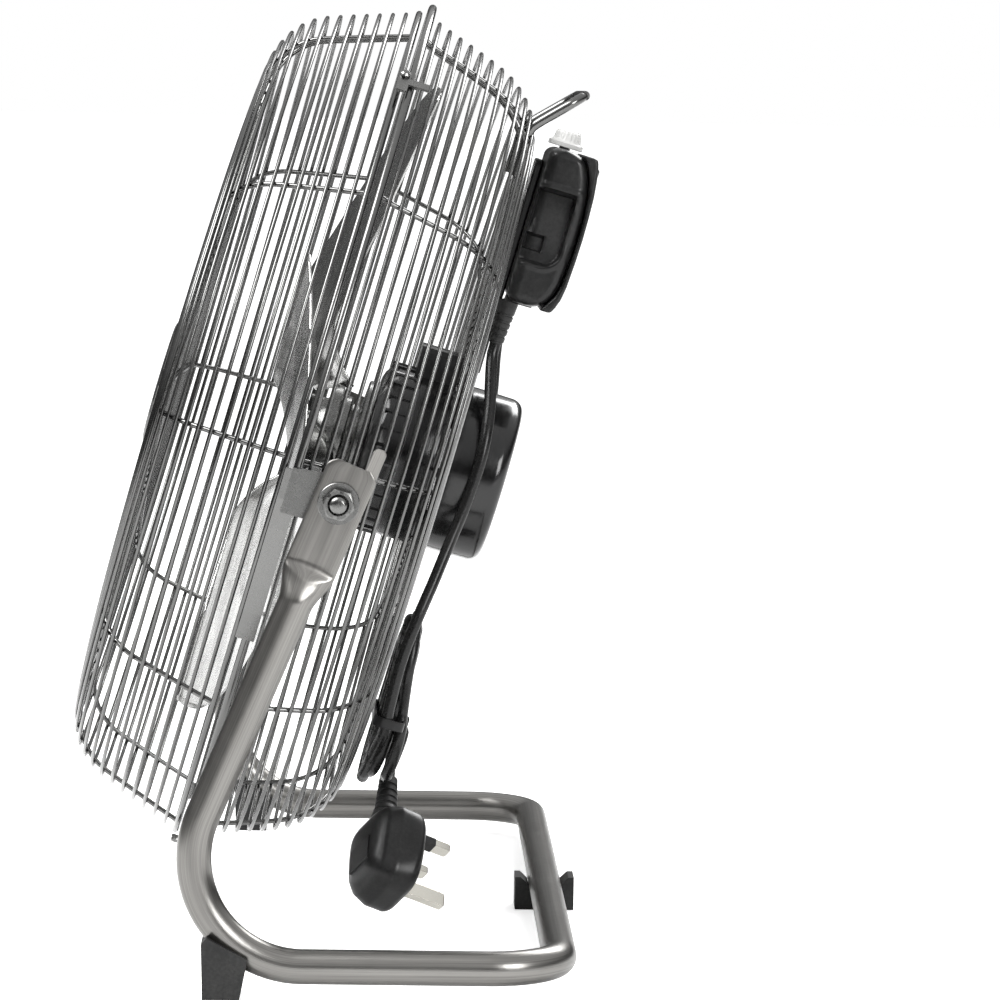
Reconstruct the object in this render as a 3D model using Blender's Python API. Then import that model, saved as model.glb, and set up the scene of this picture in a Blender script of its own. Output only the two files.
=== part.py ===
"""High-velocity floor fan: a wire-caged head that tilts between the flattened ends of one bent tube.

World frame, metres, +Z up. The air leaves towards -Y, the motor and the control box are towards +Y,
and the tilt axis runs along X. The floor is Z = 0 and the middle of the fan's width and depth is the
origin. The head is modelled in its own frame: X across, +Y along the fan's axis towards the motor,
+Z up the head, with the origin in the middle of the cage's rim.
"""

import math

import bmesh
import bpy
import numpy as np
from mathutils import Matrix, Vector

MM = 0.001
GAP = 0.3 * MM  # between pieces that touch

# Stand
TUBE_D = 16 * MM
FLOOR_CLEARANCE = 6.5 * MM  # how much higher the tilt axis is than the cage is wide, from its middle
PIVOT_Y = 3.38 * MM  # puts the origin in the middle of the fan's depth
FOOT_UNDER = 5.6 * MM  # rubber below the tube
BACK_REACH = 104.4 * MM  # tilt axis to the rear bar's centre line
LEAN = math.radians(22.6)  # of the uprights, from the vertical
FRONT_BEND_R = 49.6 * MM
REAR_BEND_R = 33.6 * MM
PLATE_WIDTH = 24 * MM  # the tube's pressed-flat end
PLATE_THICK = 2.6 * MM
PLATE_ABOVE = 18.4 * MM  # the plate's top above the tilt axis
PLATE_BELOW = 32.8 * MM
PRESS_LENGTH = 17.6 * MM  # from flat plate to round tube
STOP_ABOVE = 29.6 * MM
STOP_WIDTH = 7.2 * MM
STOP_TURN = math.radians(24)
SHOE_WALL = 3.2 * MM
REAR_SHOE_LENGTH = 19.2 * MM
REAR_SHOE_WIDTH = 29.6 * MM

# Tilt joint
TILT_REST = math.radians(15.85)  # the fan's axis above the horizontal, blowing forwards
BOLT_D = 8 * MM
BOLT_HOLE_D = 8.6 * MM
NUT_WIDTH = 13 * MM
WASHER_D = 19 * MM
WASHER_THICK = 1.6 * MM
EAR_THICK = 2.4 * MM
DISC_THICK = 5.1 * MM  # friction disc between the ear and the plate
PIVOT_BACK = 24 * MM  # tilt axis behind the rim
PIVOT_DOWN = 12 * MM  # tilt axis below the fan's axis

# Cage
CAGE_R = 216.3 * MM  # centre line of the rim wire
RIM_WIRE = 4 * MM
RIM_STEP = 4.5 * MM  # how much smaller the front rim is
FRONT_RIM_WIRE = 3.2 * MM
RING_WIRE = 1.8 * MM
RIB_WIRE = 2.4 * MM
RIBS = 10
FIRST_RIB = math.radians(18)
FRONT_DEPTH = 71.2 * MM  # rim to the front face
BACK_DEPTH = 71.2 * MM  # rim to the back face
SHOULDER = 44 * MM  # from the rim in to where a guard turns into its face
FRONT_EYE_R = 30.4 * MM
BACK_EYE_R = 36.8 * MM
CLIP_ANGLES = (-160, -36, 36, 160)  # degrees from the top of the rim
CLIP_LENGTH = 15.2 * MM
CLIP_WIDTH = 5.2 * MM
CLIP_THICK = 1.2 * MM
CLIP_TONGUE = 10.4 * MM
HANDLE_ROD = 4.8 * MM
HANDLE_WIDTH = 92.8 * MM
HANDLE_REACH = 32 * MM
HANDLE_RISE = math.radians(46.8)
HANDLE_LEG = 24 * MM  # length of its feet inside the guard
BADGE_R = 32 * MM

# Motor and fan
MOTOR_R = 42.4 * MM
MOTOR_LENGTH = 37.4 * MM
MOTOR_CLEARANCE = 3.4 * MM  # motor to the guard's back face
SHELL_WALL = 2.4 * MM
SHAFT_R = 4 * MM
SHAFT_STICKS_OUT = 7.2 * MM  # in front of the hub
BEARING_R = 11 * MM
BEARING_WIDTH = 7 * MM
STATOR_LENGTH = 14.4 * MM
AIR_GAP = 0.5 * MM
ROTOR_R = 21.5 * MM
WINDING_R = 35.2 * MM
HUB_R = 24 * MM
HUB_LENGTH = 24 * MM
HUB_CLEARANCE = 2.4 * MM  # hub to motor
BLADES = 3
TIP_CLEARANCE = 35.5 * MM  # blade tip to the rim
BLADE_ROOT_R = 24.8 * MM
BLADE_THICK = 1.3 * MM
BLADE_DEPTH = 38.8 * MM  # front edge to rear edge at the tip
BLADE_ROOT_SHARE = 0.45  # how much of that depth is left at the root
BLADE_ROOT_SWEEP = 22 * MM  # how far the root turns back to meet the hub
BLADE_OVERHANG = 25.2 * MM  # in front of the hub
BLADE_CORNER = 30.8 * MM  # how far in from the tip its front edge turns
BLADE_PHASE = math.radians(54.5)  # the first blade's front edge, from the top towards +X
BLADE_SPREAD = math.radians(79)
MOUNT_PLATE_R = 42 * MM
MOUNT_PLATE_THICK = 1.6 * MM
COVER_R = 42 * MM
COVER_DEPTH = 31.6 * MM  # behind the guard's back face
COVER_WALL = 2 * MM

# Control box
BOX_WIDTH = 76.8 * MM
BOX_HEIGHT = 79.2 * MM
BOX_DEPTH = 33.6 * MM  # behind the guard's back face
BOX_BELOW_RIM = 47.5 * MM
BOX_BOW = 4 * MM  # how far the lid's back bows out
LID_EDGE = 2.8 * MM  # the lid's side wall at its narrowest
LID_LIP = 9.6 * MM  # how much deeper it gets at its ends
BOX_WALL = 2 * MM
KNOB_R = 8.8 * MM
KNOB_HEIGHT = 8.4 * MM
KNOB_BACK = 13.6 * MM  # its axis behind the guard's back face
STRAP_WIDTH = 24 * MM
STRAP_THICK = 4 * MM
STRAP_BOTTOM = 49.6 * MM

# Cord: its route in the head's frame, from the relief's end to the top of the hank
CORD_D = 6 * MM
LEAD_D = 4.8 * MM
CORD_ROUTE = (
    (19.2, 79.2, 67.2), (19.2, 79.2, 63.2), (20.8, 79.9, 58.4), (24.2, 81.1, 52.8), (29.6, 82.7, 46), (35.6, 84.6, 38.4),
    (41.2, 86.2, 29.6), (45.2, 87.4, 20), (47, 87.9, 8.8), (47.8, 87.5, -3.2), (49, 86.6, -15.2), (51.4, 85.2, -27.2),
    (55.2, 83.8, -39.2), (60, 82.4, -51.2), (64.2, 80.8, -62.6), (66.6, 79.4, -74), (66.9, 78.4, -86), (66.9, 78.2, -98),
    (66.9, 78.8, -110), (66.9, 79.4, -118),
)
LEAD_ROUTE = (
    (6.4, 79.3, 89.2), (6.5, 79.6, 80), (6.8, 80.4, 70), (7.4, 82, 60), (8, 84, 51), (8.4, 85.4, 44.5), (8.5, 85.8, 41.9),
)
TAIL_ROUTE = (
    (44, 88.4, -149), (43.6, 88.8, -143), (40.6, 89.8, -137), (35, 90.8, -132.8), (28, 91, -130.8), (21.4, 90.6, -131.6),
    (16.6, 90, -135.8), (14.8, 89.6, -141.8), (16.2, 89.8, -147.6), (19.7, 90.35, -152.2), (23.2, 91, -155.5),
)
HANK_SIDE = (  # (along the fan's axis, up) round the hank, from its top
    (75, -67.6), (78.4, -68.6), (81, -74), (82.6, -83), (84, -92), (85.2, -104), (87, -114), (87.3, -121), (86.2, -129),
    (84.6, -138), (84.2, -150), (81.4, -157.4), (77.4, -160.4), (74.6, -156.6), (74.4, -146), (74.4, -80),
)
HANK_LOW = 9.4 * MM  # its two sides across
HANK_HIGH = 63.4 * MM
TIE_TOP = -121 * MM
TIE_WIDTH = 5 * MM
TIE_THICK = 1.3 * MM

# Plug: the middle between its two upper pins, on the face, and how it hangs, in the head's frame
PLUG_SPOT = (48 * MM, 108.4 * MM, -184.3 * MM)
PLUG_ACROSS = (0.6286, 0.2927, 0.7206)
PLUG_PINS = (-0.2946, 0.9471, -0.1277)
PIN_SPACING = 22.2 * MM
NECK_BACK = 13 * MM  # the neck's axis behind the pin face
NECK_TOP = 38 * MM
NECK_R = 5.6 * MM

# What follows from the sizes above
FRONT_RIM_R = CAGE_R - RIM_STEP
STAND_WIDTH = 2 * (CAGE_R + RIM_WIRE / 2 + EAR_THICK + DISC_THICK + PLATE_THICK / 2 + 3 * GAP)  # between centre lines
PIVOT_HEIGHT = CAGE_R + RIM_WIRE / 2 + FLOOR_CLEARANCE
MOTOR_BACK = BACK_DEPTH - MOTOR_CLEARANCE
MOTOR_FRONT = MOTOR_BACK - MOTOR_LENGTH
HUB_BACK = MOTOR_FRONT - HUB_CLEARANCE
HUB_FRONT = HUB_BACK - HUB_LENGTH
SHAFT_FRONT = HUB_FRONT - SHAFT_STICKS_OUT
BLADE_TIP_R = CAGE_R - TIP_CLEARANCE
BLADE_FRONT_R = BLADE_TIP_R - BLADE_CORNER
BLADE_FRONT = HUB_FRONT - BLADE_OVERHANG
COVER_BACK = BACK_DEPTH + COVER_DEPTH
BOX_TOP = CAGE_R - BOX_BELOW_RIM
BOX_BOTTOM = BOX_TOP - BOX_HEIGHT
BOX_BACK = BACK_DEPTH + BOX_DEPTH
KNOB_AXIS_Y = BACK_DEPTH + KNOB_BACK

MATERIALS = {
    "brushed_steel": ((0.52, 0.51, 0.49), 0.34, 1.0),
    "chrome_wire": ((0.62, 0.62, 0.62), 0.18, 1.0),
    "zinc": ((0.6, 0.6, 0.59), 0.3, 1.0),
    "blade_aluminium": ((0.6, 0.6, 0.59), 0.3, 1.0),
    "black_rubber": ((0.03, 0.03, 0.03), 0.6, 0.0),
    "black_enamel": ((0.02, 0.02, 0.02), 0.25, 0.0),
    "black_plastic": ((0.025, 0.025, 0.027), 0.4, 0.0),
    "pale_plastic": ((0.75, 0.75, 0.74), 0.35, 0.0),
    "copper": ((0.72, 0.36, 0.16), 0.35, 1.0),
    "laminations": ((0.3, 0.3, 0.31), 0.45, 1.0),
    "brass": ((0.62, 0.6, 0.5), 0.25, 1.0),
}


# --- Helpers -----------------------------------------------------------------------------------

def material(name):
    """The named finish, made once."""
    found = bpy.data.materials.get(name)
    if found is None:
        colour, roughness, metallic = MATERIALS[name]
        found = bpy.data.materials.new(name)
        found.use_nodes = True
        shader = found.node_tree.nodes["Principled BSDF"]
        shader.inputs["Base Color"].default_value = (*colour, 1)
        shader.inputs["Roughness"].default_value = roughness
        shader.inputs["Metallic"].default_value = metallic
    return found


def empty(name, parent=None, location=(0, 0, 0), turn_x=0.0):
    """A named frame that pieces are parented to."""
    holder = bpy.data.objects.new(name, None)
    bpy.context.scene.collection.objects.link(holder)
    holder.parent = parent
    holder.location = location
    holder.rotation_euler.x = turn_x
    return holder


def add(name, data, finish, parent=None, smooth=35):
    """Links a piece, gives it its finish and shades its round faces smooth."""
    piece = bpy.data.objects.new(name, data)
    bpy.context.scene.collection.objects.link(piece)
    piece.parent = parent
    data.materials.append(material(finish))
    if isinstance(data, bpy.types.Mesh):
        data.shade_smooth()
        data.set_sharp_from_angle(angle=math.radians(smooth))
    return piece


def mesh_of(points, faces):
    """A mesh from points and faces, with its faces turned outwards."""
    shape = bmesh.new()
    corners = [shape.verts.new(point) for point in points]
    for face in faces:
        shape.faces.new([corners[i] for i in face])
    bmesh.ops.recalc_face_normals(shape, faces=shape.faces)
    mesh = bpy.data.meshes.new("shape")
    shape.to_mesh(mesh)
    shape.free()
    return mesh


def turned(outline, steps=24, axis="Y", around=(0, 0)):
    """A turned solid: the closed outline of (radius, along) swept round an axis through around."""
    points, faces, rows = [], [], []
    for radius, along in outline:
        row = []
        for step in range(steps if radius > 0 else 1):
            angle = math.tau * step / steps
            across, up = around[0] + radius * math.cos(angle), around[1] + radius * math.sin(angle)
            spot = {"X": (along, across, up), "Y": (across, along, up), "Z": (across, up, along)}[axis]
            row.append(len(points))
            points.append(spot)
        rows.append(row)
    for one, other in zip(rows, rows[1:] + rows[:1]):
        if len(one) == 1 and len(other) == 1:
            continue
        for step in range(steps):
            ring = [one[step % len(one)], one[(step + 1) % len(one)]]
            ring += [other[(step + 1) % len(other)], other[step % len(other)]]
            faces.append(list(dict.fromkeys(ring)))
    return mesh_of(points, faces)


def prism(outline, low, high, axis="X"):
    """A straight prism: an outline in the two other axes, in XYZ order, run from low to high."""
    place = {"X": lambda a, b, d: (d, a, b), "Y": lambda a, b, d: (a, d, b), "Z": lambda a, b, d: (a, b, d)}
    points = [place[axis](a, b, depth) for depth in (low, high) for a, b in outline]
    count = len(outline)
    faces = [list(range(count)), list(range(count, 2 * count))]
    for i in range(count):
        j = (i + 1) % count
        faces.append([i, j, count + j, count + i])
    return mesh_of(points, faces)


def arc(centre, radius, start, end, steps):
    """Points round an arc, angles in degrees from the first axis."""
    angles = [math.radians(start + (end - start) * i / steps) for i in range(steps + 1)]
    return [(centre[0] + radius * math.cos(a), centre[1] + radius * math.sin(a)) for a in angles]


def rounded(width, height, radius, centre=(0, 0), steps=3):
    """A rectangle's outline with round corners."""
    half_w, half_h = width / 2 - radius, height / 2 - radius
    corners = ((half_w, half_h, 0), (-half_w, half_h, 90), (-half_w, -half_h, 180), (half_w, -half_h, 270))
    outline = []
    for x, y, start in corners:
        outline += arc((centre[0] + x, centre[1] + y), radius, start, start + 90, steps)
    return outline


def swept(path, section):
    """A solid along a path: section(i) gives the flat outline at path point i, as (normal, side) pairs.

    The section's frame is carried along without twist, starting with its side axis along X.
    """
    path = [Vector(point) for point in path]
    points, side = [], Vector((1, 0, 0))
    for i, spot in enumerate(path):
        ahead = (path[min(i + 1, len(path) - 1)] - path[max(i - 1, 0)]).normalized()
        side = (side - ahead * side.dot(ahead)).normalized()
        normal = side.cross(ahead)
        points += [spot + normal * a + side * b for a, b in section(i)]
    count = len(section(0))
    faces = [list(range(count)), list(range(len(points) - count, len(points)))]
    for row in range(len(path) - 1):
        for k in range(count):
            one, two = row * count + k, row * count + (k + 1) % count
            faces.append([one, two, two + count, one + count])
    return mesh_of(points, faces)


def circle(radius, steps):
    """A round section's outline."""
    return [(radius * math.cos(math.tau * k / steps), radius * math.sin(math.tau * k / steps))
            for k in range(steps)]


def smooth_curve(points, spacing):
    """Points at about the given spacing along a Catmull-Rom curve through the given ones."""
    spots = [Vector(point) for point in points]
    spots = [spots[0] * 2 - spots[1], *spots, spots[-1] * 2 - spots[-2]]
    line = []
    for a, b, c, d in zip(spots, spots[1:], spots[2:], spots[3:]):
        parts = max(1, round((c - b).length / spacing))
        for k in range(parts):
            t = k / parts
            line.append(0.5 * (2 * b + (c - a) * t + (2 * a - 5 * b + 4 * c - d) * t * t
                               + (3 * b - a - 3 * c + d) * t ** 3))
    return [*line, spots[-2]]


def cord_piece(name, route, diameter, finish, parent, spacing=2.0):
    """A plain round cord along a route given in millimetres."""
    line = smooth_curve([Vector(point) * MM for point in route], spacing * diameter)
    curve = bpy.data.curves.new(name, "CURVE")
    curve.dimensions = "3D"
    curve.bevel_depth = diameter / 2
    curve.bevel_resolution = 2
    curve.use_fill_caps = True
    spline = curve.splines.new("POLY")
    spline.points.add(len(line) - 1)
    for spot, point in zip(spline.points, line):
        spot.co = (*point, 1)
    return add(name, curve, finish, parent)


def helper(name, mesh, parent):
    """A cutter or a shape to join, which isn't a piece of its own."""
    shape = bpy.data.objects.new(name, mesh)
    bpy.context.scene.collection.objects.link(shape)
    shape.parent = parent
    shape.hide_render = True
    shape.display_type = "WIRE"
    return shape


def combine(piece, name, mesh, operation):
    """Cuts a shape out of a piece, or joins one to it."""
    change = piece.modifiers.new(name, "BOOLEAN")
    change.operation = operation
    change.solver = "EXACT"
    change.object = helper(name, mesh, piece.parent)


def soften(piece, width, segments=1):
    """Rounds a piece's sharp edges."""
    bevel = piece.modifiers.new("soft_edges", "BEVEL")
    bevel.width = width
    bevel.segments = segments
    bevel.limit_method = "ANGLE"
    bevel.angle_limit = math.radians(40)


# --- Stand -------------------------------------------------------------------------------------

def upright_point(along, forward=0.0):
    """(y, z) from the tilt axis: along the upright upwards, and forward of its centre line."""
    return (along * math.sin(LEAN) - forward * math.cos(LEAN), along * math.cos(LEAN) + forward * math.sin(LEAN))


def stand_line():
    """The tube's centre line from the +X plate's top round to the -X one, relative to the tilt axis.

    Each entry is (point, how flat), 1 in the pressed plate and 0 in the round tube.
    """
    side = STAND_WIDTH / 2
    base = TUBE_D / 2 + FOOT_UNDER - PIVOT_HEIGHT
    corner_y = base * math.tan(LEAN)
    turn = math.pi / 2 + LEAN
    tangent = FRONT_BEND_R * math.tan(turn / 2)
    line = []
    crown = 4.8 * MM
    for along in (PLATE_ABOVE, PLATE_ABOVE - crown / 4, PLATE_ABOVE - crown, 0, -PLATE_BELOW):
        line.append(((side, *upright_point(along)), 1.0))
    for part in (0.25, 0.5, 0.75, 1.0):
        line.append(((side, *upright_point(-PLATE_BELOW - part * PRESS_LENGTH)), 1 - part))
    bend_y, bend_z = corner_y + tangent, base + FRONT_BEND_R
    bend_steps = 9
    for step in range(bend_steps + 1):
        angle = math.pi - LEAN + turn * step / bend_steps
        spot = (bend_y + FRONT_BEND_R * math.cos(angle), bend_z + FRONT_BEND_R * math.sin(angle))
        line.append(((side, *spot), 0.0))
    corner_steps = 5
    for step in range(corner_steps + 1):
        angle = math.pi / 2 * step / corner_steps
        x = side - REAR_BEND_R + REAR_BEND_R * math.cos(angle)
        y = BACK_REACH - REAR_BEND_R + REAR_BEND_R * math.sin(angle)
        line.append(((x, y, base), 0.0))
    return line + [((-x, y, z), flat) for (x, y, z), flat in reversed(line)]


def tube_section(flat, radius, end_scale=1.0, steps=16):
    """The tube's outline: a circle, or a flat rounded bar where it is pressed."""
    half_width = (radius + flat * (PLATE_WIDTH / 2 - radius)) * end_scale
    half_thick = radius + flat * (PLATE_THICK / 2 - radius)
    power = 1 - 0.65 * flat
    outline = []
    for k in range(steps):
        angle = math.tau * (k + 0.5) / steps
        c, s = math.cos(angle), math.sin(angle)
        outline.append((math.copysign(abs(c) ** power, c) * half_width,
                        math.copysign(abs(s) ** power, s) * half_thick))
    return outline


def stand_solid(radius):
    """The bent tube with its pressed ends, or a slightly fatter one to cut a seat with."""
    line = stand_line()
    count = len(line)
    crowns = {0: 0.62, 1: 0.86, 2: 1.0}

    def section(i):
        return tube_section(line[i][1], radius, crowns.get(min(i, count - 1 - i), 1.0))

    return swept([point for point, _ in line], section)


def stop_finger(side):
    """The tongue on the plate's rear edge, turned inwards to stop the head."""
    low, high = 10.8 * MM, STOP_ABOVE
    inner, outer = PLATE_WIDTH / 2 - STOP_WIDTH * 0.95, PLATE_WIDTH / 2
    half = PLATE_THICK / 2
    finger = prism([(-half, inner), (half, inner), (half, outer), (-half, outer)], low, high, "Z")
    hinge = Vector((0, inner, 0))
    turn = Matrix.Translation(hinge) @ Matrix.Rotation(STOP_TURN * side, 4, "Z") @ Matrix.Translation(-hinge)
    finger.transform(Matrix.Translation((side * STAND_WIDTH / 2, 0, 0)) @ Matrix.Rotation(-LEAN, 4, "X") @ turn)
    return finger


def build_stand(pivot):
    frame = add("stand_tube", stand_solid(TUBE_D / 2), "brushed_steel", pivot)
    for side, word in ((1, "left"), (-1, "right")):
        combine(frame, f"stop_{word}", stop_finger(side), "UNION")
        ends = sorted((side * (STAND_WIDTH / 2 - TUBE_D), side * (STAND_WIDTH / 2 + TUBE_D)))
        hole = turned([(0, ends[0]), (BOLT_HOLE_D / 2, ends[0]), (BOLT_HOLE_D / 2, ends[1]), (0, ends[1])], 16, "X")
        combine(frame, f"bolt_hole_{word}", hole, "DIFFERENCE")


def front_shoe_outline():
    """(y, z) from the tilt axis of a front foot's side, under the tube's front bend."""
    base = TUBE_D / 2 + FOOT_UNDER - PIVOT_HEIGHT
    centre_y = base * math.tan(LEAN) + FRONT_BEND_R * math.tan((math.pi / 2 + LEAN) / 2)
    centre = (centre_y, base + FRONT_BEND_R)
    outer = FRONT_BEND_R + TUBE_D / 2
    floor = -PIVOT_HEIGHT
    toe = arc(centre, outer, 219, 219, 1)[0]
    heel = arc(centre, FRONT_BEND_R + 1.6 * MM, 241, 241, 1)[0]
    sole = 16.8 * MM
    return [(toe[0] - 0.8 * MM, toe[1] - 1.6 * MM), (toe[0] + 1.6 * MM, toe[1] + 1.2 * MM), heel,
            (heel[0] - 0.4 * MM, heel[1] - 4 * MM), (heel[0] - 3.2 * MM, floor),
            (heel[0] - 3.2 * MM - sole, floor)]


def build_feet(pivot):
    width = TUBE_D + 2 * SHOE_WALL
    for side, word in ((1, "left"), (-1, "right")):
        middle = side * STAND_WIDTH / 2
        shoe = add(f"front_foot_{word}", prism(front_shoe_outline(), middle - width / 2, middle + width / 2),
                   "black_rubber", pivot)
        combine(shoe, f"foot_seat_{word}", stand_solid(TUBE_D / 2 + GAP), "DIFFERENCE")
    floor = -PIVOT_HEIGHT
    half, top = REAR_SHOE_WIDTH / 2, floor + FOOT_UNDER + TUBE_D * 0.68
    horn = 2.8 * MM
    lip = TUBE_D / 2 + 0.4 * MM
    outline = [(-half, floor), (half, floor), (half, top), (half - horn, top), (lip - 2.4 * MM, top - 5.6 * MM),
               (-lip + 2.4 * MM, top - 5.6 * MM), (-half + horn, top), (-half, top)]
    outline = [(BACK_REACH + y, z) for y, z in outline]
    rear = add("rear_foot", prism(outline, -REAR_SHOE_LENGTH / 2, REAR_SHOE_LENGTH / 2), "black_rubber", pivot)
    combine(rear, "foot_seat_rear", stand_solid(TUBE_D / 2 + GAP), "DIFFERENCE")


# --- Tilt joint --------------------------------------------------------------------------------

def joint_stack():
    """Where each piece of the tilt joint ends, outwards along X from the middle of the fan."""
    ear_in = CAGE_R + RIM_WIRE / 2 + GAP
    ear_out = ear_in + EAR_THICK
    plate_in = STAND_WIDTH / 2 - PLATE_THICK / 2
    plate_out = STAND_WIDTH / 2 + PLATE_THICK / 2
    nut_in = plate_out + GAP + WASHER_THICK + GAP
    return ear_in, ear_out, plate_in, plate_out, nut_in


def build_tilt_joint(pivot):
    ear_in, ear_out, plate_in, plate_out, nut_in = joint_stack()
    nut_out = nut_in + NUT_WIDTH * 0.5
    tip = nut_out + 3.2 * MM
    shank = BOLT_D / 2
    head_in = ear_in - GAP - 4 * MM
    hole = BOLT_HOLE_D / 2
    for side, word in ((1, "left"), (-1, "right")):
        def stack(outline, steps):
            return turned([(r, side * x) for r, x in outline], steps, "X")

        bolt = [(0, head_in), (6 * MM, head_in + 0.8 * MM), (8 * MM, ear_in - GAP - 0.8 * MM), (8 * MM, ear_in - GAP),
                (shank, ear_in - GAP), (shank, tip - 1.2 * MM), (2.4 * MM, tip), (0, tip)]
        add(f"pivot_bolt_{word}", stack(bolt, 14), "zinc", pivot)
        disc = [(hole, ear_out + GAP), (10.4 * MM, ear_out + GAP), (10.4 * MM, plate_in - GAP), (hole, plate_in - GAP)]
        add(f"tilt_disc_{word}", stack(disc, 18), "black_plastic", pivot)
        washer = [(hole, plate_out + GAP), (WASHER_D / 2, plate_out + GAP), (WASHER_D / 2, nut_in - GAP),
                  (hole, nut_in - GAP)]
        add(f"pivot_washer_{word}", stack(washer, 18), "zinc", pivot)
        corner = NUT_WIDTH / math.sqrt(3)
        flats = [(corner * math.cos(math.tau * k / 6), corner * math.sin(math.tau * k / 6)) for k in range(6)]
        nut = add(f"pivot_nut_{word}", prism(flats, *sorted((side * nut_in, side * nut_out))), "zinc", pivot)
        bore = stack([(0, nut_in - 2 * MM), (shank + GAP, nut_in - 2 * MM), (shank + GAP, nut_out + 2 * MM),
                      (0, nut_out + 2 * MM)], 14)
        combine(nut, f"nut_bore_{word}", bore, "DIFFERENCE")


def build_pivot_brackets(head):
    """A strip along each side of the rim with an ear that the tilt bolt goes through."""
    ear_in, ear_out, *_ = joint_stack()
    low, high = -3.2 * MM, 5.6 * MM
    ear_r = 12 * MM
    for side, word in ((1, "left"), (-1, "right")):
        strip = []
        for angle in [91 + 22 * k / 6 for k in range(7)]:
            strip.append(math.radians(angle))
        inner, outer = ear_in, ear_out
        points = [(side * r * math.sin(a), y, r * math.cos(a))
                  for a in strip for r, y in ((inner, low), (outer, low), (outer, high), (inner, high))]
        faces = [[0, 1, 2, 3], [len(points) - 4 + k for k in range(4)]]
        for row in range(len(strip) - 1):
            for k in range(4):
                one, two = row * 4 + k, row * 4 + (k + 1) % 4
                faces.append([one, two, two + 4, one + 4])
        bracket = add(f"pivot_bracket_{word}", mesh_of(points, faces), "zinc", head)
        ear = [(low + 3.2 * MM, -3.2 * MM), (low + 3.2 * MM, -PIVOT_DOWN * 2)]
        ear += arc((PIVOT_BACK, -PIVOT_DOWN), ear_r, -95, 95, 10)
        span = sorted((side * (ear_in + 0.04 * MM), side * (ear_out + 0.04 * MM)))
        combine(bracket, f"bracket_ear_{word}", prism(ear, *span), "UNION")
        ends = sorted((side * (ear_in - 4 * MM), side * (ear_out + 4 * MM)))
        hole = turned([(0, ends[0]), (BOLT_HOLE_D / 2, ends[0]), (BOLT_HOLE_D / 2, ends[1]), (0, ends[1])],
                      16, "X", (PIVOT_BACK, -PIVOT_DOWN))
        combine(bracket, f"bracket_hole_{word}", hole, "DIFFERENCE")


# --- Cage --------------------------------------------------------------------------------------

def guard_stations(front):
    """(along, radius, wire, bays) of each hoop, from the rim to the eye; bays is its sides between ribs."""
    if front:
        return [(-RIM_WIRE * 0.9, FRONT_RIM_R, FRONT_RIM_WIRE, 3),
                (-0.315 * FRONT_DEPTH, FRONT_RIM_R - 0.145 * SHOULDER, RING_WIRE, 3),
                (-0.607 * FRONT_DEPTH, FRONT_RIM_R - 0.313 * SHOULDER, RING_WIRE, 3),
                (-0.818 * FRONT_DEPTH, FRONT_RIM_R - 0.527 * SHOULDER, RING_WIRE, 3),
                (-0.938 * FRONT_DEPTH, FRONT_RIM_R - 0.855 * SHOULDER, RING_WIRE, 3),
                (-FRONT_DEPTH + 1.6 * MM, 0.635 * FRONT_RIM_R, RING_WIRE, 3),
                (-FRONT_DEPTH, 0.397 * FRONT_RIM_R, RING_WIRE, 2),
                (-FRONT_DEPTH - 0.8 * MM, FRONT_EYE_R, RING_WIRE, 2)]
    return [(RIM_WIRE / 2, CAGE_R, RIM_WIRE, 3),
            (0.258 * BACK_DEPTH, CAGE_R - 0.227 * SHOULDER, RING_WIRE, 3),
            (0.539 * BACK_DEPTH, CAGE_R - 0.396 * SHOULDER, RING_WIRE, 3),
            (0.787 * BACK_DEPTH, CAGE_R - 0.6 * SHOULDER, RING_WIRE, 3),
            (0.949 * BACK_DEPTH, CAGE_R - SHOULDER, RING_WIRE, 3),
            (BACK_DEPTH - 0.8 * MM, 0.636 * CAGE_R, RING_WIRE, 3),
            (BACK_DEPTH, 0.425 * CAGE_R, RING_WIRE, 2),
            (BACK_DEPTH, BACK_EYE_R, RING_WIRE, 2)]


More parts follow.
